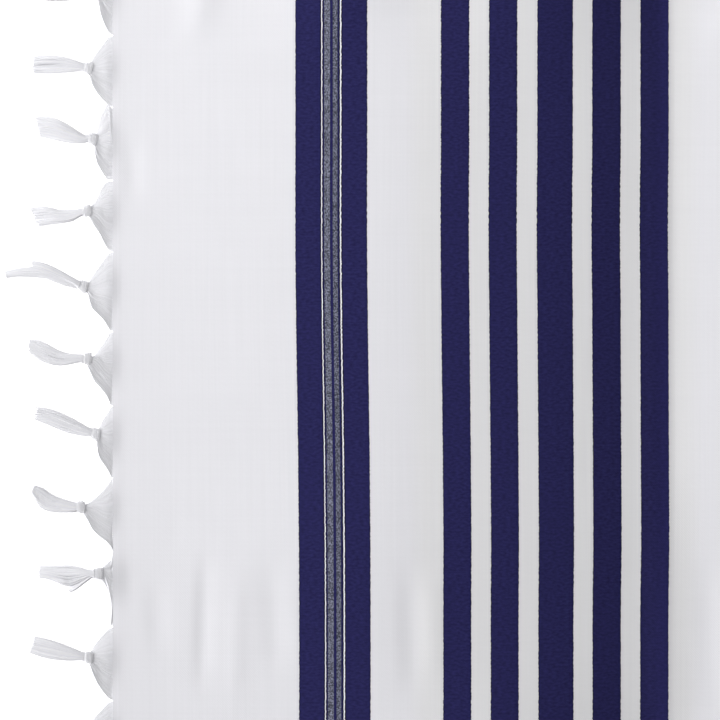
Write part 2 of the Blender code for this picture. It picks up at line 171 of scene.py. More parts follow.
# Size of a grey pick, the evenness of its grain, and each grey's contrast and darkest pick.
PICK_OUT, PICK_ACROSS, PICK_SHIFT, GRAIN = 0.4, 0.5, 0.1, 1.6
LIGHT_GRAIN, LIGHT_LEAST, DARK_GRAIN, DARK_LEAST = 2.8, 0.52, 2.4, 0.42
# Depth of the relief of every finish, and the shares of it on the weave.
RELIEF = 0.10 * MM
CROSSING_RELIEF, WEFT_SLUB_RELIEF, WARP_SLUB_RELIEF, WEAVE_RELIEF = 0.5, 0.8, 0.5, 0.55
# Spun yarn: size of its fibres and of its drift in tone, its lightness and what is added to it.
FIBRE_SCALE, YARN_DRIFT_SCALE = 2600.0, 160.0
YARN_LEAST, YARN_TONES, YARN_DRIFT, YARN_FIBRES = 0.92, 0.10, 0.05, 0.05

# Tassels of the left end from the back to the front: width of warp that each gathers, place
# of its knot out from the woven edge and across, the direction of its neck (degrees towards
# the back), how high and how far in it lifts the cloth, and the name of its outline. A plain
# shape has the length of its tail from the knot, the tail's direction at its tip, the spread
# of the tip, and the slack of the fan's back and front border (mm).
Form = namedtuple("Form", "width out shift turn lift reach shape")
Plain = namedtuple("Plain", "tail turn_end spread slack_back slack_front")
TASSELS = (
    Form(37.4, 12.4, -1.5, 12, 1.3, 6.5, Plain(28, 4, 9, 0.4, 1)),
    Form(36.2, 14.6, 1.2, 6, 1.1, 6, Plain(30, 14, 8.5, 0, 1.4)),
    Form(37.8, 9.8, 3, -6, 1.4, 7, Plain(29, 10, 9.5, 0.6, 0.6)),
    Form(36, 13.1, 1.6, 10, 1.2, 6, Plain(27, -4, 9, 0, 1.2)),
    Form(36.65, 10.7, 2.6, 20, 1.3, 6, "level"),
    Form(35.7, 13.7, 2.7, -8, 1.3, 6, "slanted"),
    Form(40, 15.5, 3, 20, 1.5, 6, "parted"),
    Form(37, 13.5, 5.3, -4, 1.6, 7.5, "broad"),
    Form(36, 9.2, 4.2, 19, 1.6, 7, "combed"),
    Form(36.85, 16.7, 4, 4, 1.4, 6.5, "curled"),
    Form(37.6, 7.9, 8, 0, 2.5, 13.5, "stray"),
    Form(36.8, 12.9, 3.4, 9, 1.3, 6.5, Plain(28, 16, 9, 0.3, 1)),
    Form(38.1, 15.1, 1.8, -5, 1.4, 6, Plain(30, 8, 9.5, 0, 1.4)),
    Form(36.9, 10.4, 4.6, 14, 1.3, 7, Plain(27, 2, 10, 0.2, 1.2)),
    Form(37.7, 13.8, 0.9, 3, 1.2, 6, Plain(29, 20, 9, 0.4, 0.8)),
    Form(36.9, 11.6, 2.2, -10, 1.3, 6.5, Plain(28, 6, 9, 0, 1.3)),
)
# The right end has the same tassels in another order.
RIGHT_END_STEP = 7
RIGHT_END_START = 5
# How a tassel lifts the woven edge: the side that it leans to, half the width that it lifts,
# how far in, by how much and how steeply (shares), and where no lift is left (mm).
LIFT_LEAN, LIFT_HALF, LIFT_REACH, LIFT_SHARE, LIFT_FALL, LIFT_LIMIT = 0.6, 0.48, 0.68, 0.42, 1.5, 14.0

# Outlines of the tails of single tassels, a lock at a time: the lock's share of the yarns,
# how far it lies over the table, how much it is parted into bundles, and stations from the
# knot to the tip, each the place of the back and of the front border, out from the knot and
# across from it (mm).
OUTLINES = {
    "level": (
        (1, 0, 0.1, (
            (3.4, 1.7, 3.6, -2.1), (9.5, 5.5, 8.4, -2.5), (15.5, 9.1, 13.4, -1.9),
            (22, 11.1, 19.5, -0.5), (28.2, 10.8, 25.4, 0.8),
        )),
    ),
    "slanted": (
        (1, 0, 0.12, (
            (2.8, 0.9, 2.6, -2.8), (7.5, 0.6, 6.3, -5), (13, 0.5, 11.5, -6.1),
            (20.1, 2.4, 17, -6.9), (27.7, 1.6, 23.5, -8.2),
        )),
    ),
    "parted": (
        (0.55, 0.4, 0.05, (
            (3.5, 3.6, 3.5, 0.2), (9, 6.8, 9.3, 2.8), (14.5, 9.7, 15.3, 5.2),
            (19.8, 11.8, 20.6, 7.2), (24.6, 12.6, 25.4, 8.6),
        )),
        (0.7, 0, 0.05, (
            (3.5, 3.2, 3.7, -1.3), (11, 6.4, 11, 0.6), (18.5, 9.4, 17.5, 3.3),
            (25.5, 9.6, 25.5, 4.3), (32, 8.8, 32, 4.6), (38.2, 7.3, 37.6, 3.9),
        )),
    ),
    "broad": (
        (1, 0, 0.15, (
            (2.8, 2, 2.8, -1.9), (8.5, 2.5, 7.5, -2.9), (14, 4.4, 13, -3.9),
            (19, 7.3, 18.8, -2.9), (24, 9.5, 24.2, -0.4), (28.3, 9.7, 28.8, 3.4),
        )),
    ),
    "combed": (
        (1, 0, 0.5, (
            (2.6, 2.9, 2.6, -1.4), (8, 6.1, 8, -0.9), (14, 9.3, 14, 0.4),
            (20.5, 12, 20.5, 3), (25.5, 13.2, 26, 5.3), (29.2, 13.5, 30.4, 7),
        )),
    ),
    "curled": (
        (1, 0, 0.12, (
            (3, 2.4, 2.4, -2.6), (8.5, 4.1, 8.5, -2.8), (14.3, 6.6, 14.5, -2.5),
            (18.2, 9.6, 19.5, -0.5), (22.8, 11.1, 24, 6.4),
        )),
    ),
    "stray": (
        (0.9, 0.3, 0.12, (
            (3.6, 1.6, 3.1, -1.6), (9, 3.3, 8.2, -4.4), (14.5, 4.3, 14, -6.8),
            (20, 3.9, 19.6, -4.9), (25, 3.9, 24.6, -3), (28.4, 4, 29.4, -2.3),
        )),
        (0.35, 0, 0.05, (
            (3, 0, 2.8, -2.3), (7.5, -2.6, 6.9, -5.3), (11, -5.3, 10.2, -7.9),
            (14.8, -8, 13.2, -9.6),
        )),
    ),
}
# Borders of their fans, each from the knot to the woven edge: places out from the woven edge
# and across from the tassel's middle (mm), for the back border and then the front one.
FAN_BORDERS = {
    "level": (
        ((7.8, 5.7), (7.2, 9), (6.5, 12), (4.9, 16.5), (2.5, 20.2)),
        ((9.7, 0.2), (9.1, -3), (8.2, -8.5), (5.5, -14), (2.8, -17.8)),
    ),
    "slanted": (
        ((10.8, 4.7), (9, 6.7), (7.8, 8.7), (6.2, 12.9), (4.8, 15.2), (2.6, 17.4)),
        ((11.9, -0.3), (9.4, -4.7), (6.5, -9), (4.4, -13.3), (2.2, -17.1)),
    ),
    "parted": (
        ((12.5, 4), (11.2, 5.8), (8.5, 10), (5, 15), (2, 19.3)),
        ((12.5, -0.5), (11.8, -4), (10.5, -8), (7.5, -11.2), (4.2, -14.7), (1.7, -19)),
    ),
    "broad": (
        ((10.5, 5.8), (8.9, 6.5), (7.1, 9.1), (5.4, 11.7), (2.8, 15.5), (1.5, 18.2)),
        ((13, 1.9), (11.1, -2.1), (9.3, -6.1), (6, -9.6), (2.8, -13.9), (1.2, -17.8)),
    ),
    "combed": (
        ((6.9, 6.5), (6, 8.9), (4.3, 11.9), (2.3, 14.9), (1, 17.3)),
        ((8.6, 0.7), (7.8, -2.5), (7.3, -5.8), (6.2, -8.8), (3.4, -12.8), (0.9, -17.3)),
    ),
    "curled": (
        ((13.6, 4.9), (10.6, 6.7), (6.5, 10.4), (2.7, 14.8), (0.9, 17.6)),
        ((15.2, 1.2), (13.1, -1.7), (10.6, -6.6), (7.4, -10.1), (3.1, -13.4), (-0.3, -17.7)),
    ),
    "stray": (
        ((5.2, 10.8), (3.1, 12.7), (0.9, 14.8), (-0.5, 17.9)),
        ((6.5, 5.9), (3.6, 2.2), (1.9, -2.3), (0.8, -6.5), (0.3, -12), (0.2, -17.6)),
    ),
}
# Half widths of an unmeasured tail, as shares of half its spread, by share of its length.
PLAIN_TAIL = ((0.10, 0.46), (0.32, 0.78), (0.55, 1.00), (0.78, 1.08), (1.00, 0.98))
PLAIN_COMB = 0.12

# A fan: its yarns start inside the cloth's edge, at a height over its underside, bulge up to
# a crest beyond it, and end at the knot, the middle ones higher than the borders (mm).
# The fan's yarns are given a lower tone than the tails' yarns, as painted shade.
FAN_STEPS, FAN_GIRTH, FAN_PAINTED_SHADE = 12, 0.37, 0.40
FAN_INSIDE, FAN_START, FAN_DIP = 1.2, 0.26, 0.1
FAN_BULGE, FAN_CREST, FAN_CREST_SHARE, FAN_FULL_LIFT = 0.35, 4.5, 0.45, 1.6
FAN_END, FAN_CROWN, FAN_CLIMB = 0.9, 0.50, 0.25
FAN_MIDDLE_SHARE, FAN_MIDDLE_SHIFT, FAN_MIDDLE_BACK = 0.25, 0.2, 0.45
FAN_PLEATS, PLEAT_HEIGHT, PLEAT_PLACE, PLEAT_HALF = 3, 0.05, 0.85, (0.15, 0.30)
FAN_UNEVEN, FAN_WANDER = 0.06, 0.15
# Where a fan enters its knot, and its shoulder there, before the knot's middle and aside,
# the corners of a plain fan by the woven edge, and how far its borders bulge (mm).
NECK_BACK, NECK_HALF, SHOULDER_BACK, SHOULDER_HALF = 1.6, 1.9, 1.5, 2.9
CORNER_OUT, CORNER_INSET, BORDER_BULGE, BORDER_SLACK = 1.8, 0.6, (0.8, 0.6), 0.4
FAN_HALF, FAN_FOOT, FAN_FOOT_HALF = 0.495, 1.2, 0.99

# The wrapped knot: distance past its middle, half width and half thickness of its sections,
# its wrapping and its core (mm). It lies higher where its tassel lifts the cloth more.
KNOT = (
    (-2.9, 2.7, 0.64), (-1.8, 3.2, 0.92), (0.0, 3.1, 1.05), (1.4, 2.6, 0.95), (2.6, 1.9, 0.60),
)
KNOT_HEIGHT, KNOT_LIFT, KNOT_PLAIN_LIFT = 1.45, 0.4, 1.5
KNOT_TURNS, KNOT_SEGMENTS, KNOT_GIRTH, KNOT_INSIDE = 9, 18, 0.46, 0.3
KNOT_CORE = ((-2.0, 0.60), (-1.2, 0.85), (0.0, 0.95), (1.2, 0.85), (2.2, 0.60))
KNOT_SLANT, KNOT_TILT, KNOT_UNEVEN = (0.02, 0.12), 0.04, 0.02
# The knot's core gets a lower tone, as painted shade where it shows between the wraps; the double
# knots' fillings share it.
KNOT_GROOVE, KNOT_BUNDLES, KNOT_TONE, CORE_PAINTED_SHADE_TONE = 0.05, 1.5, (0.6, 1.0), 0.3

# Height of the middle of a tail and half its thickness, by share of its length (mm).
TAIL_BODY = (
    (0.00, 1.36, 0.88), (0.25, 1.36, 0.96), (0.55, 1.30, 0.82), (0.80, 1.20, 0.74),
    (1.00, 1.10, 0.62),
)
TAIL_UPPER_YARNS, TAIL_LOWER_YARNS, TAIL_STEPS, TAIL_GROUPS = 27, 17, 10, 6
TAIL_START, TAIL_NECK, TAIL_GIRTH, TAIL_TAPER = 1.2, 2.3, 0.35, 0.07
TAIL_FILL, TAIL_CROWN, TAIL_ROUNDING, TAIL_LEAST_SHARE = 0.97, 0.85, 2.6, 0.25
CORE_YARNS, CORE_STEPS, CORE_WIDTH, CORE_LENGTH, CORE_GIRTH = 6, 7, 0.78, 0.94, 0.62
# The tail's filled middle gets a lower tone, as painted shade among its yarns.
TAIL_CORE_PAINTED_SHADE_TONE = 0.25
# How much a tail's bundles end and sway unevenly, and each yarn in its place, its end, its
# waver and its depth; where along the tail the swaying, the parting and the taper set in.
GROUP_ENDS, GROUP_SWAY = (-0.025, 0.02), 0.03
YARN_SPACING, YARN_ENDS, YARN_WAVER = 0.25, 0.02, 0.05
YARN_BEATS, YARN_DEPTH = (0.5, 1.5), (-0.06, 0.03)
SWAY_START, COMB_START, TAPER_START = 0.6, 0.65, 0.75
LOWEST_YARN = 0.32

# Ritual fringe: a loop of four strings through the eyelet, a wound stem with four double
# knots, and a fifth knot that holds eight free strands (mm).
STEM_LENGTH = 92.0
STEM_CLEARANCE = 2.4
STEM_RADIUS = 2.4
STEM_HEIGHT = 4.2
STEM_TURN_START = 22.0
STEM_TURN_END = 78.0
DOUBLE_KNOTS = (0.0, 17.0, 36.0, 60.0, 88.5)
DOUBLE_KNOT_RADIUS = 3.9
DOUBLE_KNOT_HALF = 3.0
DOUBLE_KNOT_FILLING = ((-2.6, 1.8), (-1.3, 2.4), (0.0, 2.6), (1.3, 2.4), (2.6, 1.8))
DOUBLE_KNOT_TURNS, DOUBLE_KNOT_START, DOUBLE_KNOT_PITCH, DOUBLE_KNOT_SLANT = 4, 0.35, 0.72, 0.45
WINDS = (7, 8, 11, 13)
WIND_STEPS, WIND_OVERLAP, WIND_GIRTH = 16, 0.6, 1.04
# The stem's core gets a lower tone, as painted shade between the windings.
STEM_CORE_STEPS, STEM_CORE_INSIDE, STEM_CORE_PAINTED_SHADE_TONE = 40, 1.4, 0.4
KNOT_STRING, KNOT_TURN_SWAY = 0.98, 0.03
STRAND_LENGTH = 200.0
STRAND_HEIGHT = 0.85
STRAND_SPREAD_START = 2.4
STRAND_SPREAD_END = 6.4
STRAND_TURN_END = 97.0
STRAND_LENGTHS = (0.93, 1.00, 0.96, 1.03, 0.98, 0.92, 1.01, 0.95)
STRAND_SWAYS = (1.2, 0.6, 1.4, 0.9, 0.2, -0.5, 0.1, -1.0)
STRAND_ORDER = (5, 4, 2, 0, 1, 3, 6, 7)
STRAND_START, STRAND_CLOSE, STRAND_SETTLE, STRAND_BENDS = 3.0, 0.10, 18.0, 1.6
STRAND_RISE, STRAND_RISE_REACH, STRAND_FALL = 1.4, 5.0, 20.0
LOOP_STRINGS, LOOP_HALF_THICK, LOOP_PITCH, LOOP_BULGE = 4, 0.7, 1.7, 0.4
LOOP_NARROWING, LOOP_NARROW_HALF = 0.45, 0.18
PLY_PITCH, PLY_STEPS, PLY_REACH, PLY_GIRTH, PLY_FRAY, PLY_FRAY_STEPS = 6.0, 6, 0.52, 0.56, 0.5, 4

# Sides of the tubes of a yarn and of a string, and how fuzzy each spun finish is.
YARN_SIDES, STRING_SIDES = 5, 6
TASSEL_FUZZ, STRING_FUZZ, THREAD_FUZZ = 0.45, 0.4, 0.3

# Light and view: sizes and places in metres, angles in degrees.
KEY_SIZE, KEY_PLACE, KEY_TARGET = 0.8, (-1.00, 0.45, 0.75), (-0.72, 0.03, 0.0)
SUN_STRENGTH, SUN_ELEVATION, SUN_AZIMUTH, SUN_SOFTNESS = 5.3, 14.0, 180.0, 38.0
FLOOR_HALF = 30.0
VIEW_WIDTH = 0.360
CAMERA_PLACE = (-0.7265, 0.02305)
CAMERA_HEIGHT = 2.0
CAMERA_SENSOR = 36.0
CAMERA_REACH = 100.0


def clamped(share):
    return max(0.0, min(1.0, share))


def smooth(share):
    share = clamped(share)
    return share * share * (3.0 - 2.0 * share)


def bump(distance, half):
    """A soft bump that is exactly flat beyond its half size."""
    return smooth(1.0 - abs(distance) / half)


def between(low, high, share):
    return low + (high - low) * share


def late(way, start):
    """Nothing up to a share of the way, then softly up to 1 at its end."""
    return smooth((way - start) / (1.0 - start))


def sway(dice, most):
    """A random amount to either side."""
    return dice.uniform(-most, most)


def fold_height(out):
    """Height of the underside over the folds, by distance from the middle (mm)."""
    for inner, outer in zip(FOLDS, FOLDS[1:]):
        if out <= outer[0]:
            break
    start, low, _, leaving = inner
    end, high, arriving, _ = outer
    span = end - start
    share = min(1.0, (out - start) / span)
    squared, cubed = share * share, share * share * share
    return (
        (2.0 * cubed - 3.0 * squared + 1.0) * low + (cubed - 2.0 * squared + share) * span * leaving
        + (3.0 * squared - 2.0 * cubed) * high + (cubed - squared) * span * arriving
    )


def swell_height(out, across):
    """Height that the soft swells add (mm)."""
    return sum(
        height * bump(out - middle_out, half_out) * bump(across - middle_across, half_across)
        for middle_out, middle_across, half_out, half_across, height in SWELLS
        if abs(out - middle_out) < half_out
    )


def wrinkle_height(out, across):
    """Height that the fine wrinkles add (mm)."""
    total = 0.0
    for from_out, from_across, to_out, to_across, half, height in WRINKLES:
        if not min(from_out, to_out) - half < out < max(from_out, to_out) + half:
            continue
        run_out, run_across = to_out - from_out, to_across - from_across
        length = hypot(run_out, run_across)
        along = (out - from_out) * run_out + (across - from_across) * run_across
        along /= length * length
        aside = (out - from_out) * run_across - (across - from_across) * run_out
        faded = smooth(min(along, 1.0 - along) * WRINKLE_FADE)
        total += height * bump(aside / length, half) * faded
    return total


def tassels_of(end):
    """Tassels of the left (-1) or right (1) end from its own back to its front, each with the
    middle of the warp that it gathers (mm)."""
    forms, count = TASSELS, len(TASSELS)
    if end > 0:
        order = [(RIGHT_END_START + RIGHT_END_STEP * index) % count for index in range(count)]
        forms = [TASSELS[index] for index in order]
    edge = sum(form.width for form in forms) / 2
    made = []
    for form in forms:
        made.append((form, edge - form.width / 2))
        edge -= form.width
    return made


END_TASSELS = {end: tassels_of(end) for end in (-1, 1)}


def edge_lift(end, out, across):
    """Height by which the tassels' fans lift the cloth's woven edge (mm)."""
    inward = CLOTH_LENGTH / 2 / MM - out
    if inward > LIFT_LIMIT:
        return 0.0
    total = 0.0
    for form, slot in END_TASSELS[end]:
        aside, half = across - slot - LIFT_LEAN * form.shift, form.width * LIFT_HALF
        if abs(aside) < half:
            reach = max(0.0, 1.0 - inward / (LIFT_REACH * form.reach)) ** LIFT_FALL
            total += LIFT_SHARE * form.lift * bump(aside, half) * reach
    return total


def cloth_height(x, y):
    """Height of the cloth's underside over the table, in metres."""
    end = -1 if x < 0.0 else 1
    out, across = abs(x) / MM, -end * y / MM
    height = fold_height(out) + swell_height(out, across)
    height += wrinkle_height(out, across) + edge_lift(end, out, across)
    inwards = max(0.0, EYELET_Y - EYELET_RADIUS * 3.0 - abs(y))
    lift = CORNER_LIFT * bump(abs(x) - EYELET_X, CORNER_LIFT_HALF) * bump(inwards, CORNER_LIFT_REACH)
    return max(0.0, height) * MM + lift + LOWEST_CLOTH


def corners():
    return [(side_x, side_y) for side_x in (-1, 1) for side_y in (1, -1)]


def corner_name(side_x, side_y):
    return f"{'left' if side_x < 0 else 'right'}_{'back' if side_y > 0 else 'front'}"


def colour_setting(name, description, default):
    return bpy.props.FloatVectorProperty(
        name=name, description=description, default=default, min=0.0, max=1.0, subtype="COLOR"
    )


def length_setting(name, description, default, least, most):
    return bpy.props.FloatProperty(
        name=name, description=description, default=default, min=least, max=most, unit="LENGTH"
    )


class Settings(bpy.types.PropertyGroup):
    """Sizes and colours of the shawl that a user would change."""

    cloth_thickness: length_setting(
        "Cloth thickness", "Thickness of the woven cloth", 0.6 * MM, 0.2 * MM, 3.0 * MM
    )
    white: colour_setting("White wool", "Colour of the ground of the cloth", (0.800, 0.795, 0.832))
    dull_white: colour_setting(
        "White between stripes", "Colour of the ground between the blue stripes",
        (0.792, 0.787, 0.803),
    )
    blue: colour_setting("Blue stripes", "Colour of the wide weft stripes", (0.0186, 0.0175, 0.0850))
    grey: colour_setting("Grey stripes", "Colour of the narrow mixed stripes", (0.088, 0.092, 0.123))
    yarn: colour_setting("Fringe yarn", "Colour of the tassels", (0.940, 0.938, 0.980))
    string: colour_setting("Ritual string", "Colour of the ritual fringes", (0.800, 0.795, 0.775))
    string_radius: length_setting(
        "String radius", "Radius of one string of a ritual fringe", 0.75 * MM, 0.3 * MM, 1.5 * MM
    )
    stitches: bpy.props.IntProperty(
        name="Eyelet stitches", description="Overcast stitches round each eyelet",
        default=30, min=8, max=60,
    )
    key_light: bpy.props.FloatProperty(
        name="Key light", description="Power of the soft light from the back left",
        default=3.1, min=0.0, unit="POWER",
    )
    sky_light: bpy.props.FloatProperty(
        name="Sky light", description="Strength of the even white surroundings",
        default=0.26, min=0.0, max=4.0,
    )


def new_mesh(name, points, lines, faces):
    mesh = bpy.data.meshes.new(name)
    mesh.from_pydata(points, lines, faces)
    return mesh


def in_scene(name, data):
    """A new object of the scene that holds some data."""
    thing = bpy.data.objects.new(name, data)
    bpy.context.scene.collection.objects.link(thing)
    return thing


# Materials.


class Nodes:
    """A node tree in the making: adds nodes, puts numbers into their sockets and links the rest."""

    def put(self, socket, value):
        value = getattr(value, "socket", value)
        if isinstance(value, bpy.types.NodeSocket):
            self.tree.links.new(value, socket)
        else:
            socket.default_value = value

    def add(self, kind, inputs=(), output=0, **settings):
        """Add a node and give back one of its outputs."""
        made = self.tree.nodes.new(kind)
        for name, value in settings.items():
            setattr(made, name, value)
        for name, value in dict(inputs).items():
            self.put(made.inputs[name], value)
        return made.outputs[output]


class Value:
    """A number that nodes work out; counting on with it adds the nodes for that."""

    def __init__(self, finish, socket):
        self.finish, self.socket = finish, socket

    def __add__(self, other):
        return self.finish.maths("ADD", self, other)

    def __sub__(self, other):
        return self.finish.maths("SUBTRACT", self, other)

    def __rsub__(self, other):
        return self.finish.maths("SUBTRACT", other, self)

    def __mul__(self, other):
        return self.finish.maths("MULTIPLY", self, other)

    def __truediv__(self, other):
        return self.finish.maths("DIVIDE", self, other)

    def __abs__(self):
        return self.finish.maths("ABSOLUTE", self)


class Finish(Nodes):
    """A procedural material."""

    def __init__(self, name):
        self.material = bpy.data.materials.new(name)
        self.material.use_nodes = True
        self.tree = self.material.node_tree
        self.shader = self.tree.nodes["Principled BSDF"]

    def value(self, kind, inputs=(), output=0, **settings):
        return Value(self, self.add(f"ShaderNode{kind}", inputs, output, **settings))

    def maths(self, operation, *values):
        return self.value("Math", enumerate(values), operation=operation)

    def ramp(self, value, low, high):
        """0 below low, 1 above high, and smooth between."""
        inputs = {"Value": value, "From Min": low, "From Max": high}
        return self.value("MapRange", inputs, interpolation_type="SMOOTHSTEP")

    def mix(self, share, first, second):
        """A mix of two colours, by the node's own places for its share and its colours."""
        return self.value("Mix", {0: share, 6: first, 7: second}, 2, data_type="RGBA")

    def scaled(self, colour, share):
        inputs = {0: tuple(colour), "Scale": share}
        return self.value("VectorMath", inputs, operation="SCALE")

    def noise(self, vector, scale, detail=2.0):
        return self.value("TexNoise", {"Vector": vector, "Scale": scale, "Detail": detail})

    def point(self, x, y):
        return self.value("CombineXYZ", {"X": x, "Y": y})

    def surface(self, **values):
        for name, value in values.items():
            self.put(self.shader.inputs[name.replace("_", " ")], value)
        return self.material

    def relief(self, height, strength):
        inputs = {"Height": height, "Distance": RELIEF, "Strength": strength}
        self.surface(Normal=self.value("Bump", inputs))


def stripe_depth(place, stripes):
    """Distance inside the nearest of the stripes, below zero outside them (mm)."""
    deepest = None
    for inner, outer in stripes:
        depth = (outer - inner) / 2 - abs(place - (inner + outer) / 2)
        deepest = depth if deepest is None else place.finish.maths("MAXIMUM", deepest, depth)
    return deepest


def striped_weave(settings):
    """Fine plain weave with weft stripes, read from the cloth's own map in metres."""
    finish = Finish("striped_weave")
    maths, ramp, noise, point = finish.maths, finish.ramp, finish.noise, finish.point
    weave = {"Vector": finish.value("UVMap", uv_map="weave")}
    signed_out = finish.value("SeparateXYZ", weave, "X") / MM
    across = finish.value("SeparateXYZ", weave, "Y") / MM
    out = abs(signed_out)

    # A weft stripe shows where it passes over the warp, so its edges have fine teeth.
    wobble = noise(point(out * WOBBLE_DRAW, across), WOBBLE_SCALE)
    warp_end = {"W": maths("FLOOR", across / WARP_PITCH)}
    bead = finish.value("TexWhiteNoise", warp_end, noise_dimensions="1D")
    toothed = out + ((bead - 0.5) * TOOTH + (wobble - 0.5) * WOBBLE)
    blue_depth = stripe_depth(toothed, BLUE_STRIPES)
    pearl_depth = stripe_depth(toothed, PEARL_STRIPES)

    # White ground, with slubs along the weft and the warp, and a little shade beside each stripe.
    weft_slub = noise(point(out, across * SLUB_DRAW), WEFT_SLUB_SCALE, FINE)
    warp_slub = noise(point(out * SLUB_DRAW, across), WARP_SLUB_SCALE, FINE)
    cloudy = noise(point(out, across), CLOUD_SCALE)
    edge_pick = maths("PINGPONG", out - EDGE_PICK_SHIFT, EDGE_PICK_PITCH)
    edge_pick = edge_pick * ramp(out, *EDGE_PICK_ZONE)
    ground = weft_slub * WEFT_SLUBS + GROUND + warp_slub * WARP_SLUBS + cloudy * CLOUDS
    ground = ground + ramp(blue_depth, *BLUE_SHADOW) * BESIDE_BLUE + edge_pick * EDGE_PICKS
    among_stripes = ramp(stripe_depth(out, DULL_GROUND), -DULL_BLUR, DULL_BLUR)
    white = finish.scaled(settings.white, ground)
    white = finish.mix(among_stripes, white, finish.scaled(settings.dull_white, ground))

    # Blue, mottled, darker just inside each edge; painted shade on the inner stripes, painted
    # highlight by the crease.
    mottle = noise(point(out * MOTTLE_DRAW, across), MOTTLE_SCALE, FINE)
    rim = (1.0 - ramp(blue_depth, *RIM_ZONE)) * (bead * (1.0 - RIM_LEAST) + RIM_LEAST)
    # Painted shade: the inner blue stripes are darkened towards the middle of the cloth.
    inner_stripe_shade = ramp(out, *INNER_STRIPE_SHADE_ZONE) * (1.0 - INNER_STRIPE_SHADE) + INNER_STRIPE_SHADE
    # Painted highlight: the blue is lightened just beside the crease.
    crease_highlight = 1.0 - ramp(out, *CREASE_HIGHLIGHT_ZONE)
    shade = mottle * MOTTLE + BLUE_BASE + rim * RIM + ramp(pearl_depth, *PEARL_SHADOW) * BESIDE_PEARL

    # Grey made of white and blue picks, a float at a time.
    picks = point(maths("SNAP", signed_out + PICK_SHIFT, PICK_OUT), maths("SNAP", across, PICK_ACROSS))
    picks = finish.value("TexWhiteNoise", {"Vector": picks}, noise_dimensions="2D")
    grain = maths("POWER", picks, GRAIN)

    colour = white
    for depth, blur, yarn, lightness in (
        (blue_depth, STRIPE_BLUR, settings.blue, crease_highlight * CREASE_HIGHLIGHT + shade * inner_stripe_shade),
        (stripe_depth(out, LIGHT_GREY_STRIPES), GREY_BLUR, settings.grey,
         grain * LIGHT_GRAIN + LIGHT_LEAST),
        (stripe_depth(out, DARK_GREY_STRIPES), GREY_BLUR, settings.grey,
         grain * DARK_GRAIN + DARK_LEAST),
        (pearl_depth, STRIPE_BLUR, settings.white, bead * PEARL_BEADS + PEARL_LEAST),
    ):
        colour = finish.mix(ramp(depth, -blur, blur), colour, finish.scaled(yarn, lightness))

    warp_wave = maths("SINE", across * (pi / WARP_PITCH))
    weft_wave = maths("SINE", signed_out * (pi / WEFT_PITCH))
    crossings = warp_wave * weft_wave * CROSSING_RELIEF + CROSSING_RELIEF
    slubs = weft_slub * WEFT_SLUB_RELIEF + warp_slub * WARP_SLUB_RELIEF
    finish.relief(crossings + slubs, WEAVE_RELIEF)
    return finish.surface(
        Base_Color=colour, Roughness=0.86, Specular_IOR_Level=0.10,
        Sheen_Weight=0.02, Sheen_Roughness=0.45,
    )


def spun_yarn(name, colour, fuzz):
    """Soft spun yarn: each yarn a little lighter or darker, with fine fibres along it."""
    finish = Finish(name)
    # The tone also carries painted shade: fan yarns and the filled cores get lower tones.
    tone = finish.value("Attribute", (), "Fac", attribute_name="tone")
    along = finish.value("Attribute", (), "Fac", attribute_name="along")
    fibres = finish.noise(finish.value("TexCoord", (), "Object"), FIBRE_SCALE, FINE)
    drift = finish.noise(finish.point(along * YARN_DRIFT_SCALE, tone), 1.0)
    lightness = tone * YARN_TONES + YARN_LEAST + drift * YARN_DRIFT + fibres * YARN_FIBRES
    finish.relief(fibres, fuzz)
    return finish.surface(
        Base_Color=finish.scaled(colour, lightness), Roughness=0.88,
        Specular_IOR_Level=0.2, Sheen_Weight=0.10, Sheen_Roughness=0.5,
        Subsurface_Weight=0.25, Subsurface_Radius=(1.0, 1.0, 1.0), Subsurface_Scale=0.9 * MM,
    )


# Yarns and strings.


class Strands:
    """Lines in a piece's own millimetres that become tubes: points, girth and tone."""

    def __init__(self, placed):
        self.placed = placed
        self.points, self.lines, self.girths, self.tones = [], [], [], []

    def add(self, points, girth, tone, closed=False):
        """Add one line; girth is one radius or one for each point (mm)."""
        start, count = len(self.points), len(points)
        girths = girth if isinstance(girth, list) else [girth] * count
        self.points += [self.placed(point) for point in points]
        self.girths += [radius * MM for radius in girths]
        self.tones += [tone] * count
        self.lines += [(start + index, start + index + 1) for index in range(count - 1)]
        if closed:
            self.lines.append((start + count - 1, start))

    def piece(self, name, tree, finish):
        """The tubes as one plain mesh object."""
        mesh = new_mesh(f"{name}_lines", self.points, self.lines, [])
        for attribute, values in (("girth", self.girths), ("tone", self.tones)):
            mesh.attributes.new(attribute, "FLOAT", "POINT").data.foreach_set("value", values)
        return dressed(name, mesh, tree, Finish=finish)


def dressed(name, mesh, tree, **inputs):
    """Run a node tree over a mesh and keep the result as a plain mesh object."""
    lines = in_scene(f"{name}_lines", mesh)
    modifier = lines.modifiers.new("tubes", "NODES")
    modifier.node_group = tree
    for item in tree.interface.items_tree:
        if item.in_out == "INPUT" and item.name in inputs:
            modifier[item.identifier] = inputs[item.name]
    graph = bpy.context.evaluated_depsgraph_get()
    made = bpy.data.meshes.new_from_object(
        lines.evaluated_get(graph), preserve_all_data_layers=True, depsgraph=graph
    )
    bpy.data.objects.remove(lines, do_unlink=True)
    bpy.data.meshes.remove(mesh)
    if not made.polygons:
        raise RuntimeError(f"{name} came out empty")
    made.name = name
    return in_scene(name, made)


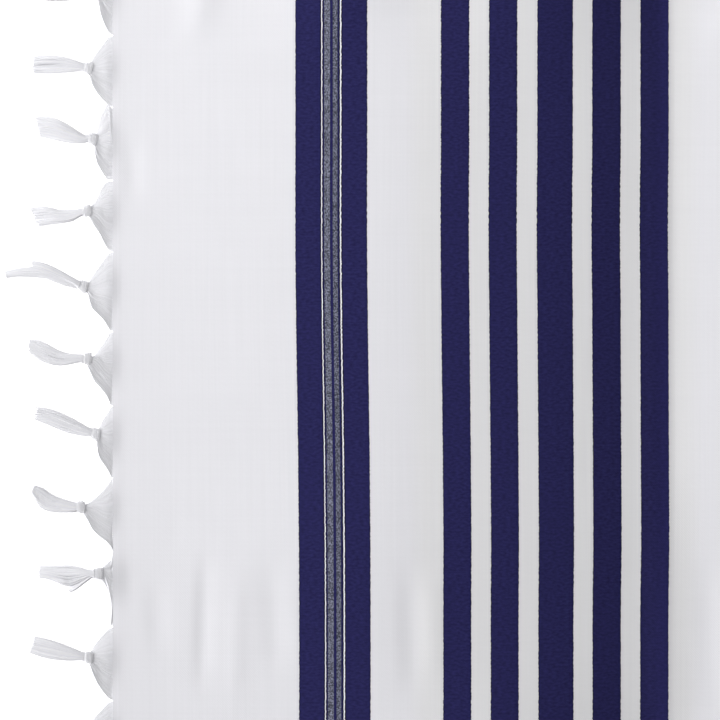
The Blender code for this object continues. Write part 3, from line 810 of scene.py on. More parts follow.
class Tree(Nodes):
    """A geometry node tree in the making."""

    def __init__(self, name, inputs):
        self.tree = bpy.data.node_groups.new(name, "GeometryNodeTree")
        face = self.tree.interface
        geometry = ("Geometry", "Geometry", None)
        for label, kind, value in (geometry, *inputs, ("Finish", "Material", None)):
            made = face.new_socket(label, in_out="INPUT", socket_type=f"NodeSocket{kind}")
            if value is not None:
                made.default_value = value
        face.new_socket("Geometry", in_out="OUTPUT", socket_type="NodeSocketGeometry")
        self.entry = self.tree.nodes.new("NodeGroupInput").outputs

    def geometry(self, kind, inputs=(), output=0, **settings):
        return self.add(f"GeometryNode{kind}", inputs, output, **settings)

    def end(self, geometry):
        """Smooth shading, real geometry and the finish, as every tree here ends."""
        soft = self.geometry("SetShadeSmooth", {"Geometry": geometry})
        real = self.geometry("RealizeInstances", {"Geometry": soft})
        inputs = {"Geometry": real, "Material": self.entry["Finish"]}
        exit_node = self.tree.nodes.new("NodeGroupOutput")
        self.put(exit_node.inputs[0], self.geometry("SetMaterial", inputs))
        return self.tree


def tube_tree(sides):
    """Tubes along a mesh's edges, as thick as their point attribute says."""
    making = Tree("yarn_tubes", (("Sides", "Int", sides),))
    lines = making.geometry("MeshToCurve", {"Mesh": making.entry["Geometry"]})
    distance = making.geometry("SplineParameter", (), "Length")
    inputs = {"Geometry": lines, "Name": "along", "Value": distance}
    measured = making.geometry("StoreNamedAttribute", inputs, domain="POINT")
    inputs = {"Resolution": making.entry["Sides"], "Radius": 1.0}
    inputs = {
        "Curve": measured,
        "Profile Curve": making.geometry("CurvePrimitiveCircle", inputs),
        "Scale": making.geometry("InputNamedAttribute", {"Name": "girth"}, "Attribute"),
        "Fill Caps": True,
    }
    return making.end(making.geometry("CurveToMesh", inputs))


def arc(turn_start, turn_end, length, distance):
    """Place and direction after a distance along a path that turns evenly (degrees, mm)."""
    start = radians(turn_start)
    bend = radians(turn_end - turn_start) / length
    heading = start + bend * distance
    if abs(bend) < 1e-6:
        return distance * cos(start), distance * sin(start), heading
    return (
        (sin(heading) - sin(start)) / bend,
        (cos(start) - cos(heading)) / bend,
        heading,
    )


def sideways(heading):
    return Vector((-sin(heading), cos(heading), 0.0))


def forwards(heading):
    return Vector((cos(heading), sin(heading), 0.0))


def flat_point(x, y):
    return Vector((x, y, 0.0))


def up(height):
    return Vector((0.0, 0.0, height))


def smooth_line(points, share):
    """A point on the soft line through evenly timed points."""
    spans = len(points) - 1
    place = max(0.0, share * spans)
    index = min(int(place), spans - 1)
    part = place - index
    second, third = points[index], points[index + 1]
    first, fourth = points[max(0, index - 1)], points[min(spans, index + 2)]
    return 0.5 * (
        2.0 * second
        + (third - first) * part
        + (2.0 * first - 5.0 * second + 4.0 * third - fourth) * part ** 2
        + (3.0 * second - 3.0 * third + fourth - first) * part ** 3
    )


def read_rows(rows, place):
    """Values of a table's other columns at a place in its first one, soft between rows."""
    for before, after in zip(rows, rows[1:]):
        if place <= after[0]:
            break
    share = smooth((place - before[0]) / (after[0] - before[0]))
    return [between(low, high, share) for low, high in zip(before[1:], after[1:])]


def evenly(points, steps, fineness=4):
    """Points spaced evenly along the soft line through some points."""
    parts = fineness * steps
    fine = [smooth_line(points, step / parts) for step in range(parts + 1)]
    lengths = [0.0]
    for before, after in zip(fine, fine[1:]):
        lengths.append(lengths[-1] + (after - before).length)
    made, index = [], 0
    for step in range(steps + 1):
        target = lengths[-1] * step / steps
        while index < len(fine) - 2 and lengths[index + 1] < target:
            index += 1
        span = max(1e-6, lengths[index + 1] - lengths[index])
        made.append(fine[index].lerp(fine[index + 1], min(1.0, (target - lengths[index]) / span)))
    return made


# The cloth.


def add_runs(lines, runs):
    """Go on with evenly spaced grid lines up to the end of each run (mm)."""
    for end, count in runs:
        start = lines[-1]
        lines += [between(start, end, step / count) for step in range(1, count + 1)]


def grid_lines(runs, eyelet, last_runs):
    """Grid lines from one edge of the cloth to the other (mm)."""
    outward = [0.0]
    add_runs(outward, runs)
    outward += [eyelet + offset for offset in EYELET_LINES]
    add_runs(outward, last_runs)
    return [-place for place in reversed(outward[1:])] + outward


def rounded(x, y):
    """Move a grid point near an eyelet so that the square lines round it become circles."""
    centre_x, centre_y = copysign(EYELET_X, x) / MM, copysign(EYELET_Y, y) / MM
    aside_x, aside_y = x - centre_x, y - centre_y
    ring = max(abs(aside_x), abs(aside_y))
    if ring < 1e-6 or ring > EYELET_BLEND:
        return x, y, ring
    share = smooth((EYELET_BLEND - ring) / (EYELET_BLEND - EYELET_OPENING))
    share = share * (ring / hypot(aside_x, aside_y) - 1.0) + 1.0
    return centre_x + aside_x * share, centre_y + aside_y * share, ring


def weave_place(x, y):
    """Place on the weave of a point of the cloth: the stripes lean a little (mm)."""
    end = -1 if x < 0.0 else 1
    out, across = abs(x), -end * y
    share = (DRIFT_FIRST - across) / (DRIFT_STEP * (len(DRIFT) - 1))
    wide, innermost = smooth_line([Vector(row) for row in DRIFT], clamped(share))
    drift = between(innermost, wide, clamped((out - DRIFT_INNERMOST) / DRIFT_BLEND))
    drift *= smooth((out - DRIFT_START) / DRIFT_RISE) * smooth((DRIFT_END - out) / DRIFT_FALL)
    return end * (out + drift), across


def drop_loose_points(mesh):
    """Remove the points inside the eyelets, which carry no face."""
    bm = bmesh.new()
    bm.from_mesh(mesh)
    loose = [point for point in bm.verts if not point.link_faces]
    bmesh.ops.delete(bm, geom=loose, context="VERTS")
    bm.to_mesh(mesh)
    bm.free()


def make_cloth(settings):
    """The woven cloth as one closed thin shell with four round eyelets."""
    lines_x = grid_lines(OUT_RUNS, EYELET_X / MM, OUT_LAST_RUNS)
    lines_y = grid_lines(ACROSS_RUNS, EYELET_Y / MM, ACROSS_LAST_RUNS)
    below, weave, rings = [], [], []
    for line_x, line_y in itertools.product(lines_x, lines_y):
        x, y, ring = rounded(line_x, line_y)
        below.append((x * MM, y * MM, cloth_height(x * MM, y * MM)))
        weave.append(weave_place(x, y))
        rings.append(ring)
    above = [(x, y, z + settings.cloth_thickness) for x, y, z in below]
    count, rows = len(below), len(lines_y)
    faces = []
    for column, row in itertools.product(range(len(lines_x) - 1), range(rows - 1)):
        start = column * rows + row
        face = (start, start + rows, start + rows + 1, start + 1)
        if max(rings[index] for index in face) > EYELET_OPENING + EYELET_TOLERANCE:
            faces.append(face)
    rim = {}
    for face in faces:
        for first, second in zip(face, face[1:] + face[:1]):
            if rim.pop((second, first), None) is None:
                rim[(first, second)] = True
    shell = [tuple(index + count for index in face) for face in faces]
    shell += [face[::-1] for face in faces]
    shell += [(first, second, second + count, first + count) for first, second in rim]

    mesh = new_mesh("shawl_cloth", below + above, [], shell)
    used = numpy.empty(len(mesh.loops), dtype=numpy.int32)
    mesh.loops.foreach_get("vertex_index", used)
    places = numpy.array(weave) * MM
    mesh.uv_layers.new(name="weave").data.foreach_set("uv", places[used % count].ravel())
    mesh.shade_smooth()
    rim_edges = {frozenset(edge) for edge in rim}
    rim_edges |= {frozenset((first + count, second + count)) for first, second in rim}
    sharp = [frozenset(edge.vertices) in rim_edges for edge in mesh.edges]
    mesh.attributes.new("sharp_edge", "BOOLEAN", "EDGE").data.foreach_set("value", sharp)
    mesh.materials.append(striped_weave(settings))
    drop_loose_points(mesh)
    return in_scene("shawl_cloth", mesh)


# The tassels.


def knot_lift(form):
    """How much higher a knot lies where its tassel lifts the cloth more than the others (mm)."""
    return max(0.0, KNOT_LIFT * (form.lift - KNOT_PLAIN_LIFT))


def knot_place(form):
    """Middle of a tassel's knot, and the directions along its tail and across it."""
    heading = radians(form.turn)
    return flat_point(form.out, form.shift), forwards(heading), sideways(heading)


def fan_border(form, sign):
    """A fan's border on its back (1) or its front (-1), from the woven edge to the knot."""
    knot, ahead, aside = knot_place(form)
    if form.shape in FAN_BORDERS:
        places = FAN_BORDERS[form.shape][0 if sign > 0 else 1]
        border = [flat_point(*place) for place in places]
    else:
        slack = BORDER_SLACK + (form.shape.slack_back if sign > 0 else form.shape.slack_front)
        shoulder = knot - ahead * SHOULDER_BACK + aside * (sign * SHOULDER_HALF)
        corner = flat_point(CORNER_OUT, sign * (form.width / 2 - CORNER_INSET))
        bulge = flat_point(BORDER_BULGE[0], sign * BORDER_BULGE[1]) * slack
        border = [
            shoulder.lerp(corner, share) + bulge * sin(pi * share)
            for share in (0.0, 0.33, 0.67, 1.0)
        ]
    half = sign * form.width * FAN_HALF
    starts = [flat_point(-FAN_INSIDE, half), flat_point(FAN_FOOT, half * FAN_FOOT_HALF)]
    return [*starts, *reversed(border), knot - ahead * NECK_BACK + aside * (sign * NECK_HALF)]


def add_fan(strands, form, slot, end, dice):
    """Warp ends that leave the woven edge and are drawn together into the knot."""
    knot, ahead, _ = knot_place(form)
    borders = {sign: evenly(fan_border(form, sign), FAN_STEPS) for sign in (1, -1)}
    middle = [
        flat_point(-FAN_INSIDE, 0.0),
        flat_point(form.out * FAN_MIDDLE_SHARE, form.shift * FAN_MIDDLE_SHIFT),
        knot - ahead * (form.out * FAN_MIDDLE_BACK), knot - ahead * NECK_BACK,
    ]
    middle = evenly(middle, FAN_STEPS)
    pleats = [(sway(dice, PLEAT_PLACE), dice.uniform(*PLEAT_HALF)) for _ in range(FAN_PLEATS)]
    crest = min(FAN_CREST, FAN_CREST_SHARE * form.out)
    bulge = FAN_BULGE * min(1.0, FAN_FULL_LIFT / form.lift)
    count = round(form.width / WARP_PITCH)
    for index in range(count):
        lean = 2.0 * (index + 0.5) / count - 1.0
        edge_x, edge_y = CLOTH_LENGTH / 2, -end * (slot + lean * form.width / 2) * MM
        edge_z, inner_z = [
            cloth_height(end * (edge_x - inside * MM), edge_y) / MM + FAN_START
            for inside in (0.0, FAN_INSIDE)
        ]
        end_z = FAN_END + FAN_CROWN * sqrt(1.0 - lean * lean) + sway(dice, FAN_UNEVEN)
        end_z += knot_lift(form)
        pleat = sum(bump(lean - place, half) for place, half in pleats) * PLEAT_HEIGHT
        wander = sway(dice, FAN_WANDER)
        line = []
        for step in range(FAN_STEPS + 1):
            way = step / FAN_STEPS
            point = middle[step].lerp(borders[1 if lean > 0 else -1][step], abs(lean))
            rise = sin(pi / 2 * clamped(point.x / crest))
            point.z = between(edge_z, inner_z - FAN_DIP, max(0.0, -point.x / FAN_INSIDE))
            point.z += bulge * (1.0 - lean * lean) * rise
            point.z = between(point.z, end_z, late(way, FAN_CLIMB))
            point.z += pleat * sin(pi * way)
            point.y += wander * sin(pi * way)
            line.append(point)
        # Painted shade: the fan yarns' tone is lowered.
        strands.add(line, FAN_GIRTH, dice.random() - FAN_PAINTED_SHADE)


def add_knot(strands, form, dice):
    """A band of yarn wrapped round the neck in a few bundles, over a filled core."""
    knot, ahead, aside = knot_place(form)
    knot += up(KNOT_HEIGHT + knot_lift(form))
    core = [knot + ahead * place for place, _ in KNOT_CORE]
    strands.add(core, [girth for _, girth in KNOT_CORE], CORE_PAINTED_SHADE_TONE)
    slant = dice.uniform(*KNOT_SLANT) * dice.choice((-1.0, 1.0))
    for turn in range(KNOT_TURNS):
        share = (turn + 0.5) / KNOT_TURNS
        along = between(KNOT[0][0], KNOT[-1][0], share)
        half_width, half_thick = read_rows(KNOT, along)
        groove = KNOT_GROOVE * abs(cos(KNOT_BUNDLES * pi * (2.0 * share - 1.0)))
        bundle = 1.0 - groove + sway(dice, KNOT_UNEVEN)
        tilt = slant + sway(dice, KNOT_TILT)
        line = []
        for segment in range(KNOT_SEGMENTS):
            angle = tau * segment / KNOT_SEGMENTS
            across = cos(angle) * (half_width * bundle - KNOT_INSIDE)
            height = sin(angle) * (half_thick * bundle - KNOT_INSIDE)
            line.append(knot + ahead * (along + across * tilt) + aside * across + up(height))
        strands.add(line, KNOT_GIRTH, dice.uniform(*KNOT_TONE), closed=True)


def tail_locks(form):
    """Locks of a tail, measured or plain, with both borders in the tassel's own place."""
    knot, _, _ = knot_place(form)
    if form.shape in OUTLINES:
        return [
            (
                share, rise, comb,
                [knot + flat_point(row[0], row[1]) for row in stations],
                [knot + flat_point(row[2], row[3]) for row in stations],
            )
            for share, rise, comb, stations in OUTLINES[form.shape]
        ]
    backs, fronts, shape = [], [], form.shape
    for way, share in PLAIN_TAIL:
        x, y, heading = arc(form.turn, shape.turn_end, shape.tail, way * shape.tail)
        middle = knot + flat_point(x, y)
        reach = sideways(heading) * (shape.spread / 2 * share)
        backs.append(middle + reach)
        fronts.append(middle - reach)
    return [(1.0, 0.0, PLAIN_COMB, backs, fronts)]


def add_tail(strands, form, dice):
    """The tail: a flat brush of yarns round a filled middle, cut blunt at its tip."""
    knot, ahead, aside = knot_place(form)
    for part, rise, comb, backs, fronts in tail_locks(form):
        neck = TAIL_NECK * sqrt(part)
        backs = [knot + ahead * TAIL_START + aside * neck] + backs
        fronts = [knot + ahead * TAIL_START - aside * neck] + fronts
        group_ends = [dice.uniform(*GROUP_ENDS) for _ in range(TAIL_GROUPS)]
        group_sways = [sway(dice, GROUP_SWAY) for _ in range(TAIL_GROUPS)]

        def at(way, across, height):
            back, front = smooth_line(backs, way), smooth_line(fronts, way)
            middle, half_thick = read_rows(TAIL_BODY, way)
            point = (back + front) / 2 + (back - front) / 2 * across
            point.z = middle + (rise + knot_lift(form)) * (1.0 - way) + half_thick * height
            return point

        for layer, full_count in ((1.0, TAIL_UPPER_YARNS), (-1.0, TAIL_LOWER_YARNS)):
            count = round(full_count * between(TAIL_LEAST_SHARE, 1.0, part))
            for index in range(count):
                place = 2.0 * (index + 0.5 + sway(dice, YARN_SPACING)) / count - 1.0
                group = min(TAIL_GROUPS - 1, int((place * 0.5 + 0.5) * TAIL_GROUPS))
                bundle = (2.0 * group + 1.0) / TAIL_GROUPS - 1.0
                reach = 1.0 + group_ends[group] + sway(dice, YARN_ENDS)
                waver, beat = sway(dice, YARN_WAVER), dice.uniform(*YARN_BEATS)
                depth = dice.uniform(*YARN_DEPTH)
                line, girths = [], []
                for step in range(TAIL_STEPS + 1):
                    way = reach * step / TAIL_STEPS
                    across = place * TAIL_FILL + waver * sin(pi * beat * way)
                    across += group_sways[group] * late(way, SWAY_START)
                    across = between(across, bundle, comb * late(way, COMB_START))
                    crown = sqrt(max(0.0, 1.0 - min(1.0, abs(across)) ** TAIL_ROUNDING))
                    line.append(at(way, across, layer * (TAIL_CROWN * crown + depth)))
                    girths.append(TAIL_GIRTH - TAIL_TAPER * late(way, TAPER_START))
                strands.add(line, girths, dice.random())
        ways = [CORE_LENGTH * step / CORE_STEPS for step in range(CORE_STEPS + 1)]
        girths = [read_rows(TAIL_BODY, way)[1] * CORE_GIRTH for way in ways]
        for index in range(CORE_YARNS):
            across = (2.0 * (index + 0.5) / CORE_YARNS - 1.0) * CORE_WIDTH
            strands.add([at(way, across, 0.0) for way in ways], girths, TAIL_CORE_PAINTED_SHADE_TONE)


def make_tassel(side, number, form, slot, end, tree, finish):
    """One tassel: a fan of warp, its knot and its tail."""

    def placed(point):
        x, y = CLOTH_LENGTH / 2 + point.x * MM, (slot + point.y) * MM
        return end * x, -end * y, max(point.z, LOWEST_YARN) * MM

    dice = random.Random(f"tassel {side} {number}")
    strands = Strands(placed)
    add_fan(strands, form, slot, end, dice)
    add_knot(strands, form, dice)
    add_tail(strands, form, dice)
    return strands.piece(f"tassel_yarns_{side}_{number:02d}", tree, finish)


# The ritual fringes.


def stem_start():
    """Distance of the stem's start from the eyelet, just clear of the cloth's edge."""
    return (EYELET_INSET + SEAM_GAP) / MM + STEM_CLEARANCE


def stem_place(distance):
    """Middle and heading of the stem after a distance along it (mm)."""
    x, y, heading = arc(STEM_TURN_START, STEM_TURN_END, STEM_LENGTH, distance)
    return Vector((stem_start() + x, y, STEM_HEIGHT)), heading


def around_stem(distance, radius, angle, slant=0.0):
    """A point on a turn round the stem."""
    middle, heading = stem_place(distance)
    across = radius * cos(angle)
    turn = middle + sideways(heading) * across + forwards(heading) * (across * slant)
    return turn + up(radius * sin(angle))


def loop_path(side_x, side_y):
    """The loop's middle line: out over the cloth's edge, through the eyelet and back below."""
    wall = (cloth_height(side_x * EYELET_X, side_y * EYELET_Y) + CLOTH_WALL) / MM
    top = wall + LOOP_HALF_THICK
    low = TABLE_GAP / MM + LOOP_HALF_THICK
    start = stem_start()
    places = (
        (start + 1.0, STEM_HEIGHT + 0.8), (start - 5.0, top + 0.5), (start - 14.0, top + 0.3),
        (18.0, top + 0.2), (7.0, top + 0.2), (3.0, top + 0.1), (0.9, top - 0.9),
        (0.0, top - 2.0), (1.2, low + 0.7), (6.0, low), (18.0, low), (start - 14.0, low),
        (start - 2.7, low + 0.3), (start + 1.0, STEM_HEIGHT - 1.0),
    )
    return [Vector((out, 0.0, height)) for out, height in places]


def strand_place(order, rise, distance, length):
    """Middle of a free strand after a distance from the stem; rise is -1 below to 1 above."""
    way = distance / length
    spread = between(STRAND_SPREAD_START, STRAND_SPREAD_END, smooth(way))
    x, y, heading = arc(STEM_TURN_END, STRAND_TURN_END, STRAND_LENGTH, distance)
    settled = between(STRAND_CLOSE, 1.0, smooth(distance / STRAND_SETTLE))
    aside = (order - (len(STRAND_ORDER) - 1) / 2) * spread * settled
    aside += STRAND_SWAYS[order] * sin(pi * way * STRAND_BENDS)
    late = smooth((distance - STRAND_RISE_REACH * (1.0 + rise)) / STRAND_FALL)
    height = between(STEM_HEIGHT + STRAND_RISE * rise, STRAND_HEIGHT, late)
    return flat_point(x, y) + sideways(heading) * aside + up(height)


def add_plies(strands, line_at, length, radius, dice):
    """One string as two plies twisted round each other along a line."""
    count = max(4, round(length / PLY_PITCH * PLY_STEPS))
    spin = dice.uniform(0.0, tau)
    middles = [line_at(length * step / count) for step in range(count + 1)]
    for ply in range(2):
        tone = dice.random()
        line = []
        for step, middle in enumerate(middles):
            ahead = middles[min(count, step + 1)] - middles[max(0, step - 1)]
            aside = flat_point(-ahead.y, ahead.x).normalized()
            over = ahead.cross(aside).normalized()
            angle = spin + pi * ply + tau * step / PLY_STEPS
            frayed = 1.0 + PLY_FRAY * smooth((step - count) / PLY_FRAY_STEPS + 1.0)
            reach = radius * PLY_REACH * frayed
            line.append(middle + aside * (cos(angle) * reach) + over * (sin(angle) * reach))
        strands.add(line, radius * PLY_GIRTH, tone)


def add_loop(strands, side_x, side_y, radius, dice):
    """Strings side by side over the edge, through the eyelet and back."""
    path = loop_path(side_x, side_y)
    length = sum((after - before).length for before, after in zip(path, path[1:]))
    for string in range(LOOP_STRINGS):
        offset = (string - (LOOP_STRINGS - 1) / 2) * radius * LOOP_PITCH
        bulge = sway(dice, LOOP_BULGE)

        def line_at(distance):
            way = distance / length
            point = smooth_line(path, way)
            narrow = 1.0 - LOOP_NARROWING * bump(way - 0.5, LOOP_NARROW_HALF)
            point.y += offset * narrow + bulge * sin(tau * way)
            return point

        add_plies(strands, line_at, length, radius, dice)


def add_stem(strands, radius, dice):
    """A core wound with one string between five double knots."""
    steps = STEM_CORE_STEPS
    core = [stem_place(DOUBLE_KNOTS[-1] * step / steps)[0] for step in range(steps + 1)]
    strands.add(core, STEM_RADIUS - radius * STEM_CORE_INSIDE, STEM_CORE_PAINTED_SHADE_TONE)
    for knot, following, turns in zip(DOUBLE_KNOTS, DOUBLE_KNOTS[1:], WINDS):
        start, stop = knot + 2.0 * DOUBLE_KNOT_HALF - WIND_OVERLAP, following + WIND_OVERLAP
        line = []
        for step in range(turns * WIND_STEPS + 1):
            along = between(start, stop, step / (turns * WIND_STEPS))
            line.append(around_stem(along, STEM_RADIUS - radius, tau * step / WIND_STEPS))
        strands.add(line, radius * WIND_GIRTH, dice.random())
    for knot in DOUBLE_KNOTS:
        for half, slant in ((0.0, DOUBLE_KNOT_SLANT), (1.0, -DOUBLE_KNOT_SLANT)):
            for turn in range(DOUBLE_KNOT_TURNS):
                along = knot + DOUBLE_KNOT_HALF * half + DOUBLE_KNOT_START + DOUBLE_KNOT_PITCH * turn
                swell = DOUBLE_KNOT_RADIUS - radius
                swell -= DOUBLE_KNOT_START * abs(turn - (DOUBLE_KNOT_TURNS - 1) / 2)
                line = []
                for segment in range(KNOT_SEGMENTS):
                    angle = tau * segment / KNOT_SEGMENTS + sway(dice, KNOT_TURN_SWAY)
                    line.append(around_stem(along, swell, angle, slant))
                strands.add(line, radius * KNOT_STRING, dice.random(), closed=True)
        middle = knot + DOUBLE_KNOT_HALF
        filling = [stem_place(middle + place)[0] for place, _ in DOUBLE_KNOT_FILLING]
        strands.add(filling, [girth for _, girth in DOUBLE_KNOT_FILLING], CORE_PAINTED_SHADE_TONE)


def add_free_strands(strands, radius, dice):
    """Eight strings that lie free beyond the last knot."""
    base, _ = stem_place(DOUBLE_KNOTS[-1] + 2.0 * DOUBLE_KNOT_HALF)
    base.z = 0.0
    for index, order in enumerate(STRAND_ORDER):
        rise = sin(radians(45.0 * (index + 1)))
        length = STRAND_LENGTH * STRAND_LENGTHS[order]

        def line_at(distance):
            return base + strand_place(order, rise, distance - STRAND_START, length)

        add_plies(strands, line_at, length + STRAND_START, radius, dice)


def make_ritual_fringe(side_x, side_y, settings, tree, finish):
    """A loop, a wound stem and eight strands that curve towards the middle of the shawl."""

    def placed(point):
        x, y = EYELET_X - point.y * MM, EYELET_Y + point.x * MM
        return side_x * x, side_y * y, point.z * MM

    radius = settings.string_radius / MM
    name = corner_name(side_x, side_y)
    dice = random.Random(f"ritual fringe {name}")
    strands = Strands(placed)
    add_loop(strands, side_x, side_y, radius, dice)
    add_stem(strands, radius, dice)
    add_free_strands(strands, radius, dice)
    return strands.piece(f"ritual_fringe_{name}", tree, finish)


# The eyelets' stitches.


def stitch_tree():
    """Overcast stitches in a ring round each point."""
    making = Tree("eyelet_stitches", (
        ("Stitches", "Int", 30), ("Ring Radius", "Float", 4.4 * MM), ("Reach", "Float", 1.3 * MM),
        ("Half Thickness", "Float", 0.5 * MM), ("Thread Radius", "Float", 0.2 * MM),
    ))
    entry, geometry = making.entry, making.geometry

    def point(**sockets):
        return making.add("ShaderNodeCombineXYZ", sockets)

    stitch = geometry("CurvePrimitiveCircle", {"Resolution": 12, "Radius": 1.0})
    for change in (
        {"Scale": point(X=entry["Reach"], Y=entry["Half Thickness"], Z=1.0)},
        {"Rotation": (pi / 2, 0.0, 0.12)},
        {"Translation": point(X=entry["Ring Radius"])},
    ):
        stitch = geometry("Transform", {"Geometry": stitch, **change})
    thread = geometry("CurvePrimitiveCircle", {"Resolution": 6, "Radius": entry["Thread Radius"]})
    stitch = geometry("CurveToMesh", {"Curve": stitch, "Profile Curve": thread})

    ring = geometry("MeshLine", {"Count": entry["Stitches"], "Offset": (0.0, 0.0, 0.0)})
    inputs = {0: geometry("InputIndex"), 1: entry["Stitches"]}
    share = making.add("ShaderNodeMath", inputs, operation="DIVIDE")
    angle = making.add("ShaderNodeMath", {0: share, 1: tau}, operation="MULTIPLY")
    inputs = {"Points": ring, "Instance": stitch, "Rotation": point(Z=angle)}
    stitches = geometry("InstanceOnPoints", inputs)
    inputs = {"Points": entry["Geometry"], "Instance": stitches}
    return making.end(geometry("InstanceOnPoints", inputs))


# Operators.


def settings_of(context):
    return context.scene.prayer_shawl


class PRAYER_SHAWL_OT_weave_cloth(bpy.types.Operator):
    """Weave the striped cloth with its eyelets"""

    bl_idname = "prayer_shawl.weave_cloth"
    bl_label = "Weave cloth"

    def execute(self, context):
        cloth = make_cloth(settings_of(context))
        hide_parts("shawl")
        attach(cloth, ROOT)
        return {"FINISHED"}


class PRAYER_SHAWL_OT_stitch_eyelets(bpy.types.Operator):
    """Overcast the four eyelets"""

    bl_idname = "prayer_shawl.stitch_eyelets"
    bl_label = "Stitch eyelets"

    def execute(self, context):
        settings = settings_of(context)
        middles = []
        for side_x, side_y in corners():
            x, y = side_x * EYELET_X, side_y * EYELET_Y
            middles.append((x, y, cloth_height(x, y) + settings.cloth_thickness / 2))
        mesh = new_mesh("eyelet_middles", middles, [], [])
        finish = spun_yarn("eyelet_thread", settings.yarn, THREAD_FUZZ)
        inputs = {"Finish": finish, "Stitches": settings.stitches}
        stitches = dressed("eyelet_stitches", mesh, stitch_tree(), **inputs)
        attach(stitches, ROOT)
        return {"FINISHED"}


class PRAYER_SHAWL_OT_tie_tassels(bpy.types.Operator):
    """Tie the warp of both ends into tassels"""

    bl_idname = "prayer_shawl.tie_tassels"
    bl_label = "Tie tassels"

    def execute(self, context):
        finish = spun_yarn("fringe_yarn", settings_of(context).yarn, TASSEL_FUZZ)
        tree = tube_tree(YARN_SIDES)
        for side, end in (("left", -1), ("right", 1)):
            for number, (form, slot) in enumerate(END_TASSELS[end], start=1):
                tassel = make_tassel(side, number, form, slot, end, tree, finish)
                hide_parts(f"tassel_{side}_{number:02d}")
                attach(tassel, ROOT)
        return {"FINISHED"}


class PRAYER_SHAWL_OT_knot_ritual_fringes(bpy.types.Operator):
    """Knot a ritual fringe through each corner eyelet"""

    bl_idname = "prayer_shawl.knot_ritual_fringes"
    bl_label = "Knot ritual fringes"

    def execute(self, context):
        settings = settings_of(context)
        finish = spun_yarn("ritual_string", settings.string, STRING_FUZZ)
        tree = tube_tree(STRING_SIDES)
        for side_x, side_y in corners():
            fringe = make_ritual_fringe(side_x, side_y, settings, tree, finish)
            name = corner_name(side_x, side_y)
            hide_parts(f"tzitzit_{name}_stem", f"tzitzit_{name}_strands")
            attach(fringe, ROOT)
        return {"FINISHED"}


class PRAYER_SHAWL_OT_set_stage(bpy.types.Operator):
    """Set the pale floor, the soft light and the camera"""

    bl_idname = "prayer_shawl.set_stage"
    bl_label = "Set stage"

    def execute(self, context):
        settings = settings_of(context)
        context.scene.view_settings.view_transform = "Standard"
        add_floor()
        world = bpy.data.worlds.new("even_surroundings")
        world.use_nodes = True
        sky = world.node_tree.nodes["Background"]
        sky.inputs["Color"].default_value = (1.0, 1.0, 1.0, 1.0)
        sky.inputs["Strength"].default_value = settings.sky_light
        context.scene.world = world
        add_light("key_light", "AREA", KEY_PLACE, KEY_TARGET, energy=settings.key_light, size=KEY_SIZE)
        place = forwards(radians(SUN_AZIMUTH)) + up(tan(radians(SUN_ELEVATION)))
        softness = radians(SUN_SOFTNESS)
        add_light("low_sun", "SUN", place, (0.0, 0.0, 0.0), energy=SUN_STRENGTH, angle=softness)
        add_camera(context.scene)
        return {"FINISHED"}


def add_floor():
    """A plain white floor, a little uneven in tone."""
    sides = ((-1, -1), (1, -1), (1, 1), (-1, 1))
    places = [(side_x * FLOOR_HALF, side_y * FLOOR_HALF, 0.0) for side_x, side_y in sides]
    mesh = new_mesh("floor", places, [], [(0, 1, 2, 3)])
    finish = Finish("pale_floor")
    place = finish.value("TexCoord", (), "Object")
    speckle = finish.noise(place, 40.0) * 0.02 + 0.88
    mesh.materials.append(finish.surface(
        Base_Color=finish.scaled((1.0, 1.0, 1.0), speckle), Roughness=0.9, Specular_IOR_Level=0.1,
        Emission_Color=(1.0, 1.0, 1.0, 1.0), Emission_Strength=0.8,
    ))
    in_scene("floor", mesh)


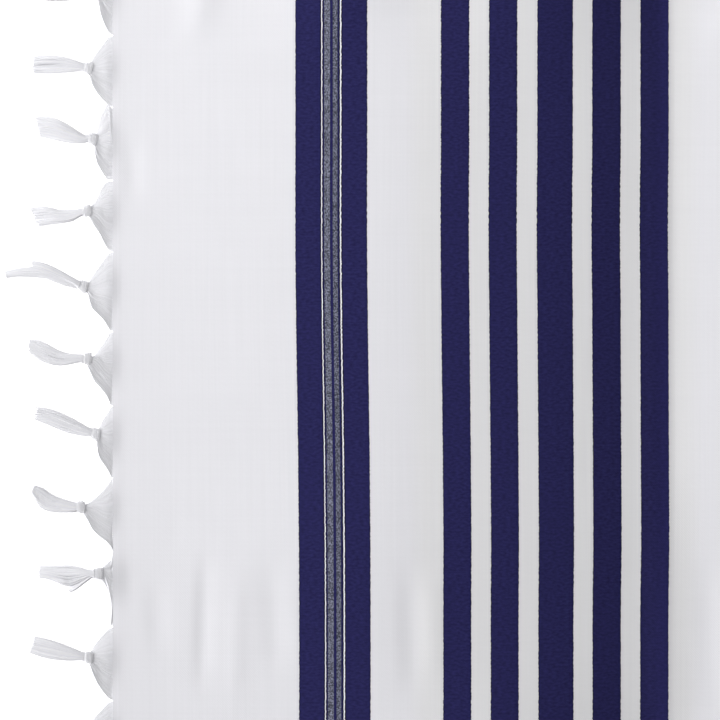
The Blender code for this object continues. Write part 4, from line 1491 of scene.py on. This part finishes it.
def add_light(name, kind, place, target, **values):
    """A light at a place, pointed at a target (m)."""
    light = bpy.data.lights.new(name, kind)
    for label, value in values.items():
        setattr(light, label, value)
    holder = in_scene(name, light)
    holder.location = place
    direction = Vector(target) - holder.location
    holder.rotation_euler = direction.to_track_quat("-Z", "Y").to_euler()


def add_camera(scene):
    """A long lens straight above the left end, framed as the shawl is shown."""
    camera = bpy.data.cameras.new("camera")
    camera.sensor_width = CAMERA_SENSOR
    camera.lens = CAMERA_SENSOR * CAMERA_HEIGHT / VIEW_WIDTH
    camera.clip_end = CAMERA_REACH
    scene.camera = in_scene("camera", camera)
    scene.camera.location = (*CAMERA_PLACE, CAMERA_HEIGHT)


class PRAYER_SHAWL_PT_sidebar(bpy.types.Panel):
    """Sizes, colours and making of the shawl"""

    bl_label = "Prayer shawl"
    bl_idname = "PRAYER_SHAWL_PT_sidebar"
    bl_space_type = "VIEW_3D"
    bl_region_type = "UI"
    bl_category = "Prayer shawl"

    def draw(self, context):
        settings = settings_of(context)
        for name in Settings.__annotations__:
            self.layout.prop(settings, name)
        for operator in OPERATORS:
            self.layout.operator(operator.bl_idname)


OPERATORS = (
    PRAYER_SHAWL_OT_weave_cloth,
    PRAYER_SHAWL_OT_stitch_eyelets,
    PRAYER_SHAWL_OT_tie_tassels,
    PRAYER_SHAWL_OT_knot_ritual_fringes,
    PRAYER_SHAWL_OT_set_stage,
)
CLASSES = (Settings, *OPERATORS, PRAYER_SHAWL_PT_sidebar)


def register():
    for kind in CLASSES:
        bpy.utils.register_class(kind)
    bpy.types.Scene.prayer_shawl = bpy.props.PointerProperty(type=Settings)


def unregister():
    del bpy.types.Scene.prayer_shawl
    for kind in reversed(CLASSES):
        bpy.utils.unregister_class(kind)


def main():
    register()
    bpy.ops.prayer_shawl.weave_cloth()
    bpy.ops.prayer_shawl.stitch_eyelets()
    bpy.ops.prayer_shawl.tie_tassels()
    bpy.ops.prayer_shawl.knot_ritual_fringes()
    bpy.ops.prayer_shawl.set_stage()
    fringe_names = ("tassel_yarns", "ritual_fringe")
    fringe = [thing for thing in bpy.data.objects if thing.name.startswith(fringe_names)]


if __name__ == "__main__":
    main()
